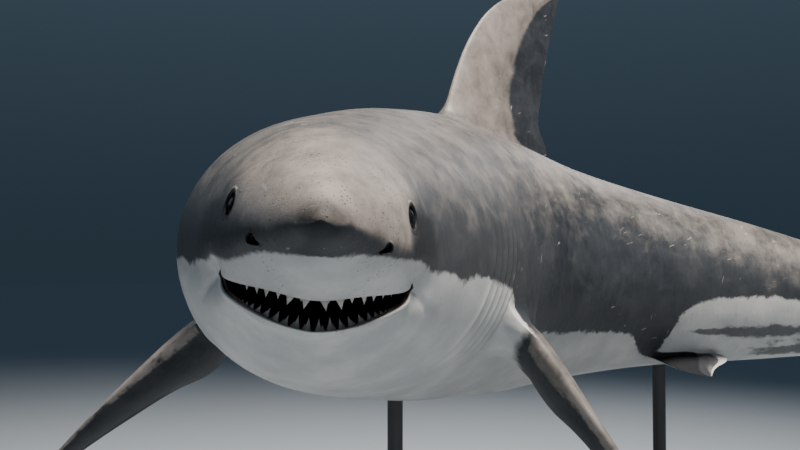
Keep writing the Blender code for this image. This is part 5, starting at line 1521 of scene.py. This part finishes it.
def stand_material():
    N = Net("stand_powder_coat")
    at = N.place()
    g = N.noise(at, 900.0, 2.0, .5)
    v = N.noise(at, 2.4, 5.0, .6)
    scuff = N.ramp(N.noise(N.place((1, 4, 1)), 18.0, 5.0, .7), .66, .80)
    col = N.mix(N.ramp(v, .3, .7), (.040, .042, .046), (.056, .058, .062))
    col = N.mix(N.math('MULTIPLY', scuff, .35), col, (.12, .12, .125))
    N.bsdf.inputs["Metallic"].default_value = .25
    return N.finish(col, N.ramp(v, .3, .7, .46, .60, 'LINEAR'), N.bump(g, .0006, .5))


skin.data.materials.append(skin_material())
_em = eye_material()
for _e, _, _ in EYES:
    _e.data.materials.append(_em)
_tm = tooth_material()
for _t_ in TEETH:
    _t_.data.materials.append(_tm)
_sm = stand_material()
for _n_ in ("stand_base", "stand_rod_front", "stand_rod_rear"):
    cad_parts[_n_].data.materials.clear()
    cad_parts[_n_].data.materials.append(_sm)



# ---- floor, light and camera -----------------------------------------------------
bm = bmesh.new()
bmesh.ops.create_grid(bm, x_segments=2, y_segments=2, size=60)
me = bpy.data.meshes.new("floor")
bm.to_mesh(me)
bm.free()
floor = bpy.data.objects.new("floor", me)
floor.location = (0, 0, _b0[2] - .0002)
bpy.context.scene.collection.objects.link(floor)
fm = bpy.data.materials.new("floor_pale")
fm.use_nodes = True
fm.node_tree.nodes["Principled BSDF"].inputs["Base Color"].default_value = (.40, .442, .485, 1)
fm.node_tree.nodes["Principled BSDF"].inputs["Roughness"].default_value = .85
me.materials.append(fm)

world = bpy.data.worlds.new("studio")
bpy.context.scene.world = world
world.use_nodes = True
_wt = world.node_tree
_bg = _wt.nodes["Background"]
_bg.inputs["Strength"].default_value = .13
# the sky's lowest part has the far floor's tone, so that the floor runs out with no line
_tc = _wt.nodes.new("ShaderNodeTexCoord")
_sx = _wt.nodes.new("ShaderNodeSeparateXYZ")
_mr = _wt.nodes.new("ShaderNodeMapRange")
_mx = _wt.nodes.new("ShaderNodeMix")
_mx.data_type = 'RGBA'
_wt.links.new(_tc.outputs["Generated"], _sx.inputs[0])
_wt.links.new(_sx.outputs[2], _mr.inputs[0])
_mr.interpolation_type = 'SMOOTHSTEP'
for _i, _v in ((1, .0), (2, .45)):
    _mr.inputs[_i].default_value = _v
_wt.links.new(_mr.outputs[0], _mx.inputs[0])
_mx.inputs[6].default_value = (.167, .274, .388, 1)
_mx.inputs[7].default_value = (.40, .60, .80, 1)
_wt.links.new(_mx.outputs[2], _bg.inputs["Color"])


def area(name, at, to, size, power, colour=(1, 1, 1)):
    li = bpy.data.lights.new(name, 'AREA')
    li.shape = 'RECTANGLE'
    li.size, li.size_y = size
    li.energy = power
    li.color = colour
    ob = bpy.data.objects.new(name, li)
    ob.location = at
    ob.rotation_euler = (Vector(to) - Vector(at)).to_track_quat('-Z', 'Y').to_euler()
    bpy.context.scene.collection.objects.link(ob)
    return ob


MIDDLE = Vector(ORIGIN)
key = area("key_top", MIDDLE + Vector((3.3, .75, 6.4)), MIDDLE + Vector((.5, -.4, 0)), (2.0, 2.0), 275, (1, .92, .83))
key.data.spread = math.radians(70)
area("fill_front", MIDDLE + Vector((4.2, -3.4, 1.2)), MIDDLE, (3.0, 2.0), 3, (.70, .86, 1))
area("rim_back", MIDDLE + Vector((-3.0, 2.6, 2.6)), MIDDLE, (2.5, 2.5), 30, (.86, .93, 1))

area("fill_left", MIDDLE + Vector((-1.6, -3.8, 1.8)), MIDDLE, (2.6, 2.0), 16, (.74, .87, 1))

CAM = ORIGIN + np.array((2.96842542, -1.51679076, -.00100287))
_y, _p_ = math.radians(BANK_DIR[0]), math.radians(BANK_DIR[1])
LOOK = Vector((math.sin(_y) * math.cos(_p_), math.cos(_y) * math.cos(_p_), math.sin(_p_)))
cam = bpy.data.cameras.new("camera")
cam.sensor_width, cam.lens = 36.0, 45.0
cam.clip_start, cam.clip_end = .05, 100
co = bpy.data.objects.new("camera", cam)
co.location = CAM
co.rotation_euler = LOOK.to_track_quat('-Z', 'Y').to_euler()
bpy.context.scene.collection.objects.link(co)
bpy.context.scene.camera = co
